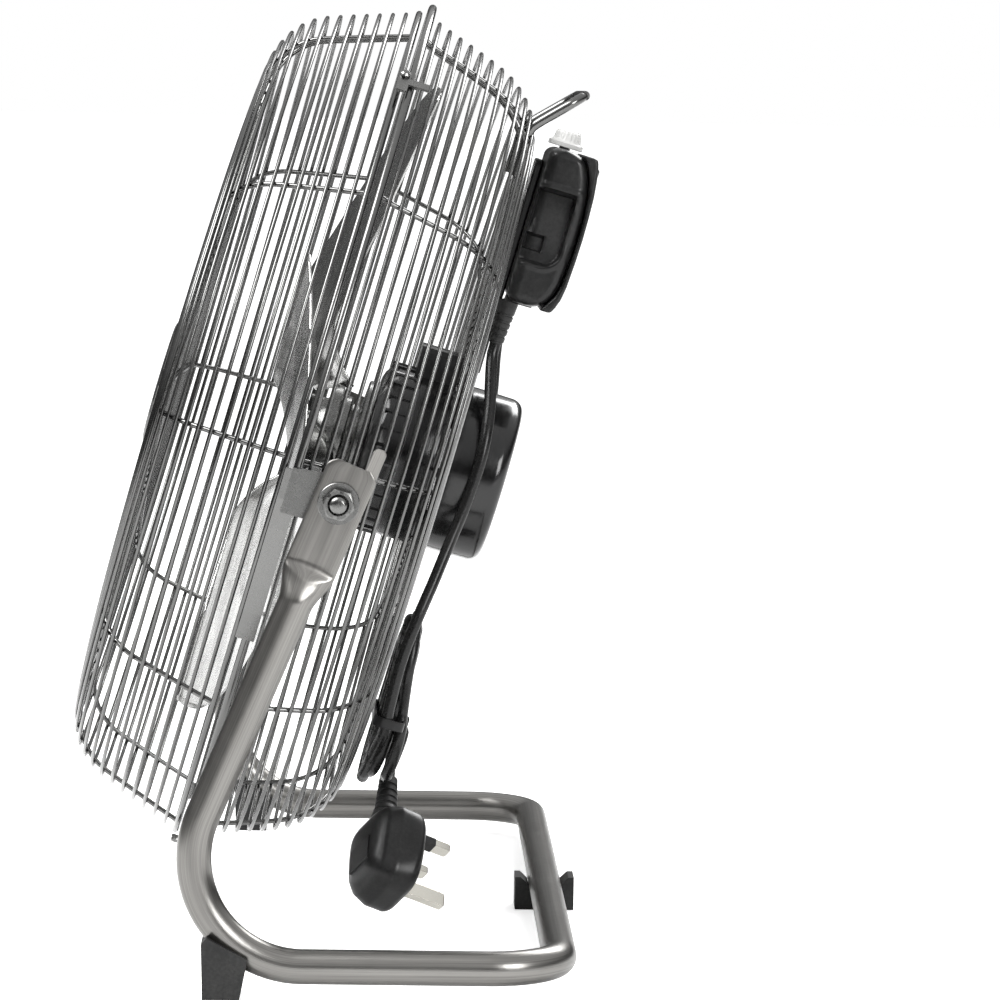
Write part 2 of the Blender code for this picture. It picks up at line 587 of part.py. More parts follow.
def guard_mesh(front):
    """A wire guard as one body: square-wire hoops welded to the outside of ribs.

    At each rib a hoop has one short side as wide as the rib. Its inner face and the rib's outer face are
    the same four points, so both faces are left out and the wires run into each other.
    """
    stations = guard_stations(front)
    spine = [Vector((y, r)) for y, r, _, _ in stations]
    frames = []
    for i, spot in enumerate(spine):
        ahead = (spine[min(i + 1, len(spine) - 1)] - spine[max(i - 1, 0)]).normalized()
        if i == 0:
            ahead = Vector((math.copysign(1, spine[1].x - spine[0].x), 0))
        outward = Vector((-ahead.y, ahead.x))
        if outward.y < 0 or (abs(outward.y) < 0.2 and outward.x * ahead.x < 0 and spot.y < 0):
            outward.negate()
        if abs(outward.y) < 0.7:
            outward = outward if outward.x * (-1 if front else 1) > 0 else -outward
        frames.append((spot, ahead, outward))

    points, index, faces = [], {}, []

    def corner(key, along, radius, angle, shift):
        """One corner: at an angle round the axis, shifted sideways by a rib's half width."""
        if key not in index:
            index[key] = len(points)
            points.append((radius * math.sin(angle) + shift * math.cos(angle), along,
                           radius * math.cos(angle) - shift * math.sin(angle)))
        return index[key]

    half_rib = RIB_WIRE / 2
    for i, ((spot, ahead, outward), (_, _, wire, bays)) in enumerate(zip(frames, stations)):
        half = wire / 2
        section = [spot - outward * half - ahead * half, spot - outward * half + ahead * half,
                   spot + outward * half + ahead * half, spot + outward * half - ahead * half]
        loop = []
        for rib in range(RIBS):
            angle = FIRST_RIB + math.tau * rib / RIBS
            loop += [(rib, angle, -half_rib, ("side", rib, -1)), (rib, angle, half_rib, ("side", rib, 1))]
            skew = half_rib / spot.y
            span = math.tau / RIBS - 2 * skew
            loop += [(rib, angle + skew + span * k / bays, 0.0, ("bay", rib, k)) for k in range(1, bays)]
        columns = [[corner((i, c, key), section[c].x, section[c].y, angle, shift) for c in range(4)]
                   for _, angle, shift, key in loop]
        for k, (one, two) in enumerate(zip(columns, columns[1:] + columns[:1])):
            at_rib = loop[k][3][0] == "side" and loop[k][3][2] == -1
            for c in range(4):
                if not (at_rib and c == 0):
                    faces.append([one[c], one[(c + 1) % 4], two[(c + 1) % 4], two[c]])

    for rib in range(RIBS):
        angle = FIRST_RIB + math.tau * rib / RIBS
        rows = []
        for i, ((spot, ahead, outward), (_, _, wire, _)) in enumerate(zip(frames, stations)):
            half = wire / 2
            for c, sign in ((0, -1), (1, 1)):
                deep = spot - outward * (half + RIB_WIRE) + ahead * half * sign
                row = [index[(i, c, ("side", rib, -1))], index[(i, c, ("side", rib, 1))]]
                row += [corner((i, "deep", c, rib, s), deep.x, deep.y, angle, s * half_rib) for s in (1, -1)]
                rows.append(row)
        for k, (one, two) in enumerate(zip(rows, rows[1:])):
            for c in range(4):
                if not (c == 0 and k % 2 == 0):
                    faces.append([one[c], one[(c + 1) % 4], two[(c + 1) % 4], two[c]])
        faces += [rows[0], rows[-1]]
    return mesh_of(points, faces)


def build_cage(head):
    add("front_guard", guard_mesh(True), "chrome_wire", head)
    add("rear_guard", guard_mesh(False), "chrome_wire", head)
    face = -FRONT_DEPTH - 0.8 * MM - RING_WIRE / 2 - GAP
    badge = [(0, face), (BADGE_R, face), (BADGE_R, face - 0.96 * MM), (BADGE_R - 3.2 * MM, face - 2.08 * MM),
             (0, face - 2.08 * MM)]
    add("centre_badge", turned(badge, 24), "pale_plastic", head)


def clip_turn(degrees):
    """Carries a clip from the top of the rim round to its place, towards +X."""
    return Matrix.Rotation(math.radians(degrees), 4, "Y")


def build_clips(head):
    """Sheet clips over the rim that hold the two guards together, each with its screw."""
    low = CAGE_R + RIM_WIRE / 2 + GAP
    high = low + CLIP_THICK
    front = -RIM_WIRE / 2 - CLIP_WIDTH / 2
    tongue = CLIP_TONGUE
    half = CLIP_LENGTH / 2
    tongue_half = 2.24 * MM
    outline = [(-half, front), (half, front), (half, front + CLIP_WIDTH), (tongue_half, front + CLIP_WIDTH),
               (tongue_half, tongue), (-tongue_half, tongue), (-tongue_half, front + CLIP_WIDTH),
               (-half, front + CLIP_WIDTH)]
    for number, degrees in enumerate(CLIP_ANGLES, 1):
        clip = prism(outline, low, high, "Z")
        clip.transform(clip_turn(degrees))
        add(f"guard_clip_{number}", clip, "zinc", head)
        base = high + GAP
        screw = turned([(0, base), (2.4 * MM, base), (2.4 * MM, base + 0.96 * MM), (1.44 * MM, base + 1.76 * MM),
                        (0, base + 1.76 * MM)], 10, "Z", (-half + 3.2 * MM, front + CLIP_WIDTH / 2))
        screw.transform(clip_turn(degrees))
        add(f"clip_screw_{number}", screw, "zinc", head)


def build_handle(head):
    """The U-shaped rod on top of the rear guard, its feet welded inside the guard's ribs."""
    side = HANDLE_WIDTH / 2
    knee = Vector((0, BACK_DEPTH - 8 * MM, CAGE_R - SHOULDER + 0.9 * MM))
    foot = knee - Vector((0, 0, HANDLE_LEG))
    rise = Vector((0, math.cos(HANDLE_RISE), math.sin(HANDLE_RISE)))
    grip = knee + rise * HANDLE_REACH
    bend = 9.6 * MM
    half = [foot + Vector((side, 0, 0)), knee + Vector((side, 0, -4 * MM)), knee + Vector((side, 0.72 * MM, -0.48 * MM)),
            knee + rise * 4 * MM + Vector((side, 0, 0))]
    centre = grip - rise * bend
    for step in range(5):
        angle = math.pi / 2 * step / 4
        half.append(centre + Vector((side - bend + bend * math.cos(angle), 0, 0)) + rise * bend * math.sin(angle))
    path = half + [Vector((-p.x, p.y, p.z)) for p in reversed(half)]
    add("carry_handle", swept(path, lambda i: circle(HANDLE_ROD / 2, 8)), "chrome_wire", head)


# --- Motor and fan -----------------------------------------------------------------------------

def build_motor(head):
    middle = (MOTOR_FRONT + MOTOR_BACK) / 2 + 0.48 * MM
    seat = BEARING_R + GAP
    boss = seat + 2.56 * MM
    inner = MOTOR_R - SHELL_WALL
    chamfer = 5.6 * MM
    front = [(seat, MOTOR_FRONT), (MOTOR_R - chamfer, MOTOR_FRONT), (MOTOR_R, MOTOR_FRONT + chamfer),
             (MOTOR_R, middle - GAP / 2), (inner, middle - GAP / 2), (inner, MOTOR_FRONT + chamfer + 0.8 * MM),
             (MOTOR_R - chamfer - 0.8 * MM, MOTOR_FRONT + SHELL_WALL), (boss, MOTOR_FRONT + SHELL_WALL),
             (boss, MOTOR_FRONT + BEARING_WIDTH + 0.8 * MM), (seat, MOTOR_FRONT + BEARING_WIDTH + 0.8 * MM)]
    add("motor_front_shell", turned(front), "black_enamel", head)
    rear = [(seat, MOTOR_BACK), (seat, MOTOR_BACK - BEARING_WIDTH - 0.8 * MM), (boss, MOTOR_BACK - BEARING_WIDTH - 0.8 * MM),
            (boss, MOTOR_BACK - SHELL_WALL), (inner, MOTOR_BACK - SHELL_WALL), (inner, middle + GAP / 2),
            (MOTOR_R, middle + GAP / 2), (MOTOR_R, MOTOR_BACK)]
    add("motor_rear_shell", turned(rear), "black_enamel", head)
    stator_in = ROTOR_R + AIR_GAP + 2.4 * MM + GAP
    low, high = middle - STATOR_LENGTH / 2, middle + STATOR_LENGTH / 2
    stator_out = inner - GAP
    stator = [(stator_in, low), (stator_out, low), (stator_out, high), (stator_in, high)]
    add("stator_core", turned(stator), "laminations", head)
    sleeve, bundle = ROTOR_R + AIR_GAP, 3.2 * MM
    windings = [(sleeve, low - GAP - bundle), (WINDING_R, low - GAP - bundle), (WINDING_R, low - GAP),
                (stator_in - GAP, low - GAP), (stator_in - GAP, high + GAP), (WINDING_R, high + GAP),
                (WINDING_R, high + GAP + bundle), (sleeve, high + GAP + bundle)]
    add("stator_windings", turned(windings), "copper", head)
    bore = SHAFT_R + GAP
    for word, start in (("front", MOTOR_FRONT + 0.4 * MM), ("rear", MOTOR_BACK - BEARING_WIDTH - 0.4 * MM)):
        bearing = [(bore, start), (BEARING_R, start), (BEARING_R, start + BEARING_WIDTH), (bore, start + BEARING_WIDTH)]
        add(f"bearing_{word}", turned(bearing, 16), "zinc", head)
    housing_low, housing_high = middle - 4 * MM, MOTOR_BACK - 0.8 * MM
    top = MOTOR_R + 13.6 * MM
    outline = rounded(27.2 * MM, 22.4 * MM, 6.4 * MM, (0, top - 11.2 * MM), 3)
    capacitor = add("capacitor_housing", prism(outline, housing_low, housing_high, "Y"), "black_plastic", head)
    seat_cut = turned([(0, housing_low - 4 * MM), (MOTOR_R + GAP, housing_low - 4 * MM),
                       (MOTOR_R + GAP, housing_high + 4 * MM), (0, housing_high + 4 * MM)])
    combine(capacitor, "capacitor_seat", seat_cut, "DIFFERENCE")
    plate_low = BACK_DEPTH + RING_WIRE / 2 + GAP
    plate_high = plate_low + MOUNT_PLATE_THICK
    plate = [(BEARING_R, plate_low), (MOUNT_PLATE_R, plate_low), (MOUNT_PLATE_R, plate_high), (BEARING_R, plate_high)]
    add("motor_mount_plate", turned(plate), "black_enamel", head)
    cover_low = plate_high + GAP
    corner = 6.4 * MM
    inside = COVER_R - COVER_WALL
    cover = [(COVER_R, cover_low), (COVER_R, COVER_BACK - corner), (COVER_R - corner * 0.3, COVER_BACK - corner * 0.3),
             (COVER_R - corner, COVER_BACK), (8 * MM, COVER_BACK), (6.4 * MM, COVER_BACK + 1.28 * MM),
             (0, COVER_BACK + 1.28 * MM), (0, COVER_BACK - COVER_WALL),
             (inside - corner, COVER_BACK - COVER_WALL), (inside, COVER_BACK - corner), (inside, cover_low)]
    add("motor_cover", turned(cover, 28), "black_plastic", head)


def build_spinner(spin):
    """What turns: the rotor and shaft in the motor, and the hub, blades and nut in front of it."""
    middle = (MOTOR_FRONT + MOTOR_BACK) / 2 + 0.48 * MM
    low, high = middle - STATOR_LENGTH / 2 - 0.8 * MM, middle + STATOR_LENGTH / 2 + 0.8 * MM
    bore = SHAFT_R + GAP
    rotor = [(bore, low), (ROTOR_R, low), (ROTOR_R, high), (bore, high)]
    add("rotor", turned(rotor), "laminations", spin)
    shaft = [(0, SHAFT_FRONT), (SHAFT_R - 0.48 * MM, SHAFT_FRONT), (SHAFT_R, SHAFT_FRONT + 0.48 * MM),
             (SHAFT_R, MOTOR_BACK - 0.8 * MM), (0, MOTOR_BACK - 0.8 * MM)]
    add("motor_shaft", turned(shaft, 16), "zinc", spin)
    hub = [(bore, HUB_FRONT), (15.2 * MM, HUB_FRONT), (16 * MM, HUB_FRONT + 4 * MM), (HUB_R, HUB_FRONT + 5.6 * MM),
           (HUB_R, HUB_FRONT + 10.4 * MM), (HUB_R - 4 * MM, HUB_FRONT + 11.2 * MM), (HUB_R - 4 * MM, HUB_BACK - 8 * MM),
           (HUB_R - 7.2 * MM, HUB_BACK - 7.2 * MM), (HUB_R - 7.2 * MM, HUB_BACK - 3.2 * MM), (30.4 * MM, HUB_BACK - 2.4 * MM),
           (30.4 * MM, HUB_BACK), (bore, HUB_BACK)]
    add("blade_hub", turned(hub), "zinc", spin)
    nut = [(0, SHAFT_FRONT - 5.6 * MM), (4 * MM, SHAFT_FRONT - 4.8 * MM), (7.2 * MM, SHAFT_FRONT - 0.8 * MM),
           (7.2 * MM, HUB_FRONT - GAP), (bore, HUB_FRONT - GAP), (bore, SHAFT_FRONT - GAP), (0, SHAFT_FRONT - GAP)]
    add("blade_nut", turned(nut, 16), "zinc", spin)
    for number in range(BLADES):
        mesh = blade_mesh(BLADE_PHASE + math.tau * number / BLADES)
        add(f"blade_{number + 1}", mesh, "blade_aluminium", spin, smooth=60)


def blade_point(out, back, front_angle):
    """The blade's middle surface: out 0..1 from root to tip, back 0..1 from its front edge to its rear edge."""
    ease = math.sin(math.pi / 2 * back)
    reach = BLADE_FRONT_R + (BLADE_TIP_R - BLADE_FRONT_R) * ease
    radius = BLADE_ROOT_R + (reach - BLADE_ROOT_R) * out
    inwards = (radius - BLADE_ROOT_R) / (BLADE_TIP_R - BLADE_ROOT_R)
    spread = BLADE_SPREAD * min(1.0, 0.55 + 0.9 * inwards)
    angle = front_angle + BLADE_SPREAD / 2 + (back - 0.5) * spread
    share = BLADE_ROOT_SHARE + (1 - BLADE_ROOT_SHARE) * inwards
    root = max(0.0, 1 - inwards / 0.22) ** 2
    along = BLADE_FRONT + BLADE_DEPTH * (1 - (1 - back) ** 1.7) * share + BLADE_ROOT_SWEEP * root
    return Vector((radius * math.sin(angle), along, radius * math.cos(angle)))


def blade_mesh(angle):
    """A curved sheet blade: the middle surface thickened both ways along its own normal."""
    rows, columns = 8, 7
    grid = [[blade_point(i / (rows - 1), k / (columns - 1), angle) for k in range(columns)]
            for i in range(rows)]
    points = []
    for sign in (1, -1):
        for i in range(rows):
            for k in range(columns):
                outward = grid[min(i + 1, rows - 1)][k] - grid[max(i - 1, 0)][k]
                across = grid[i][min(k + 1, columns - 1)] - grid[i][max(k - 1, 0)]
                points.append(grid[i][k] + outward.cross(across).normalized() * sign * BLADE_THICK / 2)
    layer = rows * columns
    faces = []
    for i in range(rows - 1):
        for k in range(columns - 1):
            quad = [i * columns + k, i * columns + k + 1, (i + 1) * columns + k + 1, (i + 1) * columns + k]
            faces += [quad, [layer + spot for spot in quad]]
    rim = [k for k in range(columns)] + [i * columns + columns - 1 for i in range(1, rows)]
    rim += [(rows - 1) * columns + k for k in range(columns - 2, -1, -1)]
    rim += [i * columns for i in range(rows - 2, 0, -1)]
    for one, two in zip(rim, rim[1:] + rim[:1]):
        faces.append([one, two, layer + two, layer + one])
    return mesh_of(points, faces)


# --- Control box -------------------------------------------------------------------------------

def box_curves(steps=8):
    """(z, seam y, back y) up the box's side: the lid's back bows out and its seam curves in at both ends."""
    middle, half = (BOX_TOP + BOX_BOTTOM) / 2, (BOX_TOP - BOX_BOTTOM) / 2
    rows = []
    for k in range(steps + 1):
        part = 2 * k / steps - 1
        part = math.copysign(abs(part) ** 0.7, part)
        seam = BOX_BACK - LID_EDGE - LID_LIP * abs(part) ** 3.5
        rows.append((middle + half * part, seam, BOX_BACK - BOX_BOW * part * part))
    return rows


def build_control_box(head):
    front = BACK_DEPTH + RING_WIRE / 2 + GAP + STRAP_THICK + GAP
    rows = box_curves()
    profile = [(front, BOX_TOP), (front, BOX_BOTTOM)] + [(seam, z) for z, seam, _ in rows]
    box = add("control_box", prism(profile, -BOX_WIDTH / 2, BOX_WIDTH / 2), "black_plastic", head)
    soften(box, 4 * MM, 2)
    hollow = prism([(front + BOX_WALL, BOX_BOTTOM + BOX_WALL + 3.2 * MM), (BOX_BACK, BOX_BOTTOM + BOX_WALL + 3.2 * MM),
                    (BOX_BACK, BOX_TOP - BOX_WALL - 3.2 * MM), (front + BOX_WALL, BOX_TOP - BOX_WALL - 3.2 * MM)],
                   -BOX_WIDTH / 2 + BOX_WALL + 4 * MM, BOX_WIDTH / 2 - BOX_WALL - 4 * MM)
    combine(box, "box_hollow", hollow, "DIFFERENCE")
    spindle_hole = turned([(0, BOX_TOP - 12 * MM), (3.52 * MM, BOX_TOP - 12 * MM), (3.52 * MM, BOX_TOP + 4 * MM),
                           (0, BOX_TOP + 4 * MM)], 12, "Z", (0, KNOB_AXIS_Y))
    combine(box, "spindle_hole", spindle_hole, "DIFFERENCE")
    lid_outline = [(seam + GAP, z) for z, seam, _ in rows] + [(back, z) for z, _, back in reversed(rows)]
    lid = add("control_lid", prism(lid_outline, -BOX_WIDTH / 2, BOX_WIDTH / 2), "black_plastic", head)
    for word, z in (("top", BOX_TOP - 7.2 * MM), ("bottom", BOX_BOTTOM + 7.2 * MM)):
        base = BOX_BACK - 0.6 * BOX_BOW + 0.96 * MM
        screw = turned([(0, base), (2.4 * MM, base), (2.4 * MM, base + 0.8 * MM), (1.44 * MM, base + 1.52 * MM),
                        (0, base + 1.52 * MM)], 10, "Y", (0, z))
        add(f"lid_screw_{word}", screw, "zinc", head)
    strap_low = BACK_DEPTH + RING_WIRE / 2 + GAP
    strap_top = BOX_TOP - 8 * MM
    strap_outline = rounded(STRAP_WIDTH, strap_top - STRAP_BOTTOM, 3 * MM, (0, (strap_top + STRAP_BOTTOM) / 2), 2)
    add("box_strap", prism(strap_outline, strap_low, strap_low + STRAP_THICK, "Y"), "black_enamel", head)
    switch_top = BOX_TOP - BOX_WALL - 3.2 * MM - 0.8 * MM
    switch = prism(rounded(20 * MM, 11 * MM, 2 * MM, (0, KNOB_AXIS_Y), 2), switch_top - 20 * MM, switch_top - 2 * MM, "Z")
    add("speed_switch", switch, "pale_plastic", head)
    return switch_top - 2 * MM


def build_knob(knob, switch_top):
    """The speed knob with its spindle down to the switch, about its own upright axis."""
    base = BOX_TOP + 0.8 * MM
    profile = [(0, switch_top + GAP), (2.88 * MM, switch_top + GAP), (2.88 * MM, base), (KNOB_R, base),
               (KNOB_R, base + 2.4 * MM), (KNOB_R - 1.6 * MM, base + 3.2 * MM), (KNOB_R - 2.08 * MM, base + KNOB_HEIGHT - 0.8 * MM),
               (KNOB_R - 2.88 * MM, base + KNOB_HEIGHT), (0, base + KNOB_HEIGHT)]
    piece = add("speed_knob", turned(profile, 20, "Z"), "pale_plastic", knob)
    rib = prism([(-0.8 * MM, 1.6 * MM), (0.8 * MM, 1.6 * MM), (0.8 * MM, KNOB_R - 2.56 * MM), (-0.8 * MM, KNOB_R - 2.56 * MM)],
                base + KNOB_HEIGHT - 0.4 * MM, base + KNOB_HEIGHT + 0.64 * MM, "Z")
    combine(piece, "knob_mark", rib, "UNION")


# --- Cord --------------------------------------------------------------------------------------

def build_cords(head):
    start = Vector(CORD_ROUTE[0]) * MM
    relief_r = CORD_D / 2 + 0.72 * MM
    relief = [(0, start.z + GAP), (relief_r, start.z + GAP), (relief_r + 1.6 * MM, BOX_BOTTOM - GAP), (0, BOX_BOTTOM - GAP)]
    add("cord_relief", turned(relief, 14, "Z", (start.x, start.y)), "black_rubber", head)
    cord_piece("motor_lead", LEAD_ROUTE, LEAD_D, "black_rubber", head)
    cord_piece("cord_run", CORD_ROUTE, CORD_D, "black_rubber", head)
    cord_piece("cord_tail", TAIL_ROUTE, CORD_D, "black_rubber", head, 0.5)
    side = [(y * MM, z * MM) for y, z in HANK_SIDE]
    hank = add("cord_hank", prism(side, HANK_LOW, HANK_HIGH), "black_rubber", head)
    soften(hank, 2.5 * MM)
    near = min(y for y, _ in side)
    far = max(y for y, _ in side)
    inner, outer = GAP, GAP + TIE_THICK
    band = prism([(HANK_LOW - outer, near - outer), (HANK_HIGH + outer, near - outer), (HANK_HIGH + outer, far + outer),
                  (HANK_LOW - outer, far + outer)], TIE_TOP - TIE_WIDTH, TIE_TOP, "Z")
    tie = add("cord_tie", band, "black_plastic", head)
    opening = prism([(HANK_LOW - inner, near - inner), (HANK_HIGH + inner, near - inner), (HANK_HIGH + inner, far + inner),
                     (HANK_LOW - inner, far + inner)], TIE_TOP - 2 * TIE_WIDTH, TIE_TOP + TIE_WIDTH, "Z")
    combine(tie, "tie_opening", opening, "DIFFERENCE")


def plug_outline(width, low, high, corner):
    """The plug's face outline (across, up), narrower at its foot."""
    half = width / 2
    foot = half * 0.74
    shape = [(half, high - 2.2 * corner), (half - 1.5 * corner, high), (1.5 * corner - half, high), (-half, high - 2.2 * corner),
             (-half, low + 2.2 * corner), (-foot, low + corner * 0.7), (corner - foot, low), (foot - corner, low),
             (foot, low + corner * 0.7), (half, low + 2.2 * corner)]
    return shape


def build_plug(head):
    """A three-pin moulded plug on its cord: across, along its pins and up towards the cord are its own axes."""
    across, ahead = Vector(PLUG_ACROSS).normalized(), Vector(PLUG_PINS).normalized()
    up = across.cross(ahead)
    frame = Matrix.Translation(PLUG_SPOT) @ Matrix((across, ahead, up)).transposed().to_4x4()
    layers = ((0.0, 43, -30.5, 10, 6), (-3.0, 46, -32, 12, 7), (-13.0, 45, -32.5, 13, 8), (-20.0, 37, -30, 11, 8),
              (-25.0, 27, -24, 6, 6))
    points, faces = [], []
    for y, width, low, high, corner in layers:
        points += [(a, y * MM, b) for a, b in plug_outline(width * MM, low * MM, high * MM, corner * MM)]
    count = len(points) // len(layers)
    faces += [list(range(count)), list(range(len(points) - count, len(points)))]
    for row in range(len(layers) - 1):
        for k in range(count):
            one, two = row * count + k, row * count + (k + 1) % count
            faces.append([one, two, two + count, one + count])
    body = mesh_of(points, faces)
    body.transform(frame)
    plug = add("plug_body", body, "black_rubber", head)
    neck = turned([(0, -2 * MM), (NECK_R + 2 * MM, -2 * MM), (NECK_R + 1.6 * MM, 14 * MM), (NECK_R, 20 * MM), (NECK_R - 0.6 * MM, NECK_TOP),
                   (0, NECK_TOP)], 12, "Z", (0, -NECK_BACK))
    neck.transform(frame)
    combine(plug, "plug_neck", neck, "UNION")
    pins = (("earth", 0, -PIN_SPACING, 4, 7.9, 22.7), ("line", PIN_SPACING / 2, 0, 6.3, 4, 17.7),
            ("neutral", -PIN_SPACING / 2, 0, 6.3, 4, 17.7))
    for word, x, z, wide, tall, length in pins:
        pin = prism([(x + a * wide * MM / 2, z + b * tall * MM / 2) for a, b in ((-1, -1), (1, -1), (1, 1), (-1, 1))],
                    GAP, length * MM, "Y")
        pin.transform(frame)
        add(f"plug_pin_{word}", pin, "brass", head)


def main():
    for thing in list(bpy.data.objects):
        bpy.data.objects.remove(thing, do_unlink=True)
    pivot = empty("tilt_axis", None, (0, PIVOT_Y, PIVOT_HEIGHT))
    build_stand(pivot)
    build_feet(pivot)
    build_tilt_joint(pivot)
    tilted = empty("head_tilt", pivot, turn_x=-TILT_REST)
    head = empty("head_frame", tilted, (0, -PIVOT_BACK, PIVOT_DOWN))
    build_pivot_brackets(head)
    build_cage(head)
    build_clips(head)
    build_handle(head)
    build_motor(head)
    build_spinner(empty("fan_axis", head))
    switch_top = build_control_box(head)
    build_knob(empty("knob_axis", head, (0, KNOB_AXIS_Y, 0)), switch_top)
    build_cords(head)
    build_plug(head)


main()
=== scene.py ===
"""The looks of a high-velocity floor fan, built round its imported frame.

World frame, metres, +Z up. The head is laid out in its own frame: across (+X), along the fan's axis
towards the motor, and up the head, all from the middle of the cage's rim.
"""

import math

import bpy
import numpy as np
from bpy.props import FloatProperty, FloatVectorProperty, IntProperty, PointerProperty
from mathutils import Matrix, Vector


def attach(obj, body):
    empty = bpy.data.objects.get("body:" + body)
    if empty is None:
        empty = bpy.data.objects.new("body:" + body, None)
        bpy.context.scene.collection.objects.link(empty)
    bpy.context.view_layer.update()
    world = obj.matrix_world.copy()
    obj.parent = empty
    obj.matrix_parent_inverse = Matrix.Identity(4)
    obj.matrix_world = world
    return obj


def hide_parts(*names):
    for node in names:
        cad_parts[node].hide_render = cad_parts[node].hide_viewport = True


bl_info = {
    "name": "Floor Fan Looks",
    "version": (1, 0, 0),
    "blender": (4, 5, 0),
    "location": "3D View > Sidebar > Fan",
    "description": "Builds a floor fan's wire guards, stand, blades, motor, control box and cord round its frame",
    "category": "Object",
}

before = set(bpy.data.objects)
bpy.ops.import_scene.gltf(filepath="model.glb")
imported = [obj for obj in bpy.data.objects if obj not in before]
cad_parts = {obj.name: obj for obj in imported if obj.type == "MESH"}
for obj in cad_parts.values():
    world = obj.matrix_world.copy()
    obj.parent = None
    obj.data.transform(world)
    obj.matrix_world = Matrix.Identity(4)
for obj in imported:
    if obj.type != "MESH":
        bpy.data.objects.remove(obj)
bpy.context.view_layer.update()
MM = 0.001
TILT = math.radians(15.85)
RIM = np.array([0.0, -0.016430, 0.242899])
BACKWARDS = np.array([0.0, math.cos(TILT), -math.sin(TILT)])
UPWARDS = np.array([0.0, math.sin(TILT), math.cos(TILT)])
ACROSS = np.array([1.0, 0.0, 0.0])
PIVOT = RIM + BACKWARDS * 24 * MM - UPWARDS * 12 * MM
LEAN = math.radians(22.6)

# Sizes in millimetres, angles in radians.
STAND_HALF_WIDTH = 228.0  # to the middle of each plate
STAND_REACH = 104.4  # from the tilt axis back to the middle of the rear bar
TUBE_RADIUS = 8.0
TUBE_FLOOR_GAP = 5.6
FRONT_BEND = 49.6
REAR_BEND = 33.6
PLATE_HALF_WIDTH = 12.0
PLATE_HALF_THICKNESS = 1.3
PRESS_HALF_THICKNESS = 4.4  # where the tube has just opened out of the plate
TUBE_STARTS = 32.8  # below the tilt axis
FINGER_OUT = 10.8
BLADE_ROOT = 24.8
BLADE_TIP = 180.8
BLADE_TURN = 150.0  # where the front edge turns towards the tip
BLADE_FRONT = -21.2
BLADE_DEPTH = 38.8
BLADE_ROOT_SHARE = 0.45
BLADE_ROOT_SWEEP = 22.0
BLADE_SPREAD = math.radians(79)
BLADE_PHASE = math.radians(54.5)
BLADES = 3
BOX_HALF_WIDTH = 38.2
BOX_LOW, BOX_HIGH = 89.8, 168.6


# --- Places --------------------------------------------------------------------------------------

def head(x, along, up):
    """World points from head coordinates in millimetres: the rim's middle plus each coordinate along its axis."""
    x, along, up = np.broadcast_arrays(np.asarray(x, float), np.asarray(along, float), np.asarray(up, float))
    return RIM + MM * (x[..., None] * ACROSS + along[..., None] * BACKWARDS + up[..., None] * UPWARDS)


def head_route(points):
    """World points of a route given as (x, along, up) rows in millimetres."""
    rows = np.array(points, float)
    return head(rows[:, 0], rows[:, 1], rows[:, 2])


def unit(vectors):
    """Each vector divided by its own length."""
    return vectors / np.maximum(np.linalg.norm(vectors, axis=-1, keepdims=True), 1e-12)


def travelled(points):
    """The distance along a line of points to each one: the running sum of the steps between them."""
    return np.concatenate([[0], np.cumsum(np.linalg.norm(np.diff(points, axis=0), axis=1))])


def round_turn(count):
    """Evenly spaced angles of one full turn, the last one left out."""
    return np.linspace(0, math.tau, count, endpoint=False)


def curved(points, count):
    """count points spaced evenly along a Catmull-Rom curve through the given ones."""
    spots = np.array(points, float)
    spots = np.vstack([2 * spots[0] - spots[1], spots, 2 * spots[-1] - spots[-2]])
    t = np.linspace(0, 1, 24, endpoint=False)[:, None, None]
    a, b, c, d = (spots[i:len(spots) - 3 + i][None] for i in range(4))
    line = 0.5 * (2 * b + (c - a) * t + (2 * a - 5 * b + 4 * c - d) * t ** 2 + (3 * b - a - 3 * c + d) * t ** 3)
    line = np.vstack([line.transpose(1, 0, 2).reshape(-1, spots.shape[1]), spots[-2]])
    gone = travelled(line)
    at = np.linspace(0, gone[-1], count)
    return np.stack([np.interp(at, gone, line[:, k]) for k in range(line.shape[1])], axis=1)


def ease(value, low, high):
    """0 below low, 1 above high, and 3t^2 - 2t^3 between them."""
    t = np.clip((value - low) / (high - low), 0, 1)
    return t * t * (3 - 2 * t)


def within(value, low, full, fading, high):
    """1 between full and fading, 0 below low and above high, eased between them."""
    return ease(value, low, full) * (1 - ease(value, fading, high))


# --- Surfaces ------------------------------------------------------------------------------------

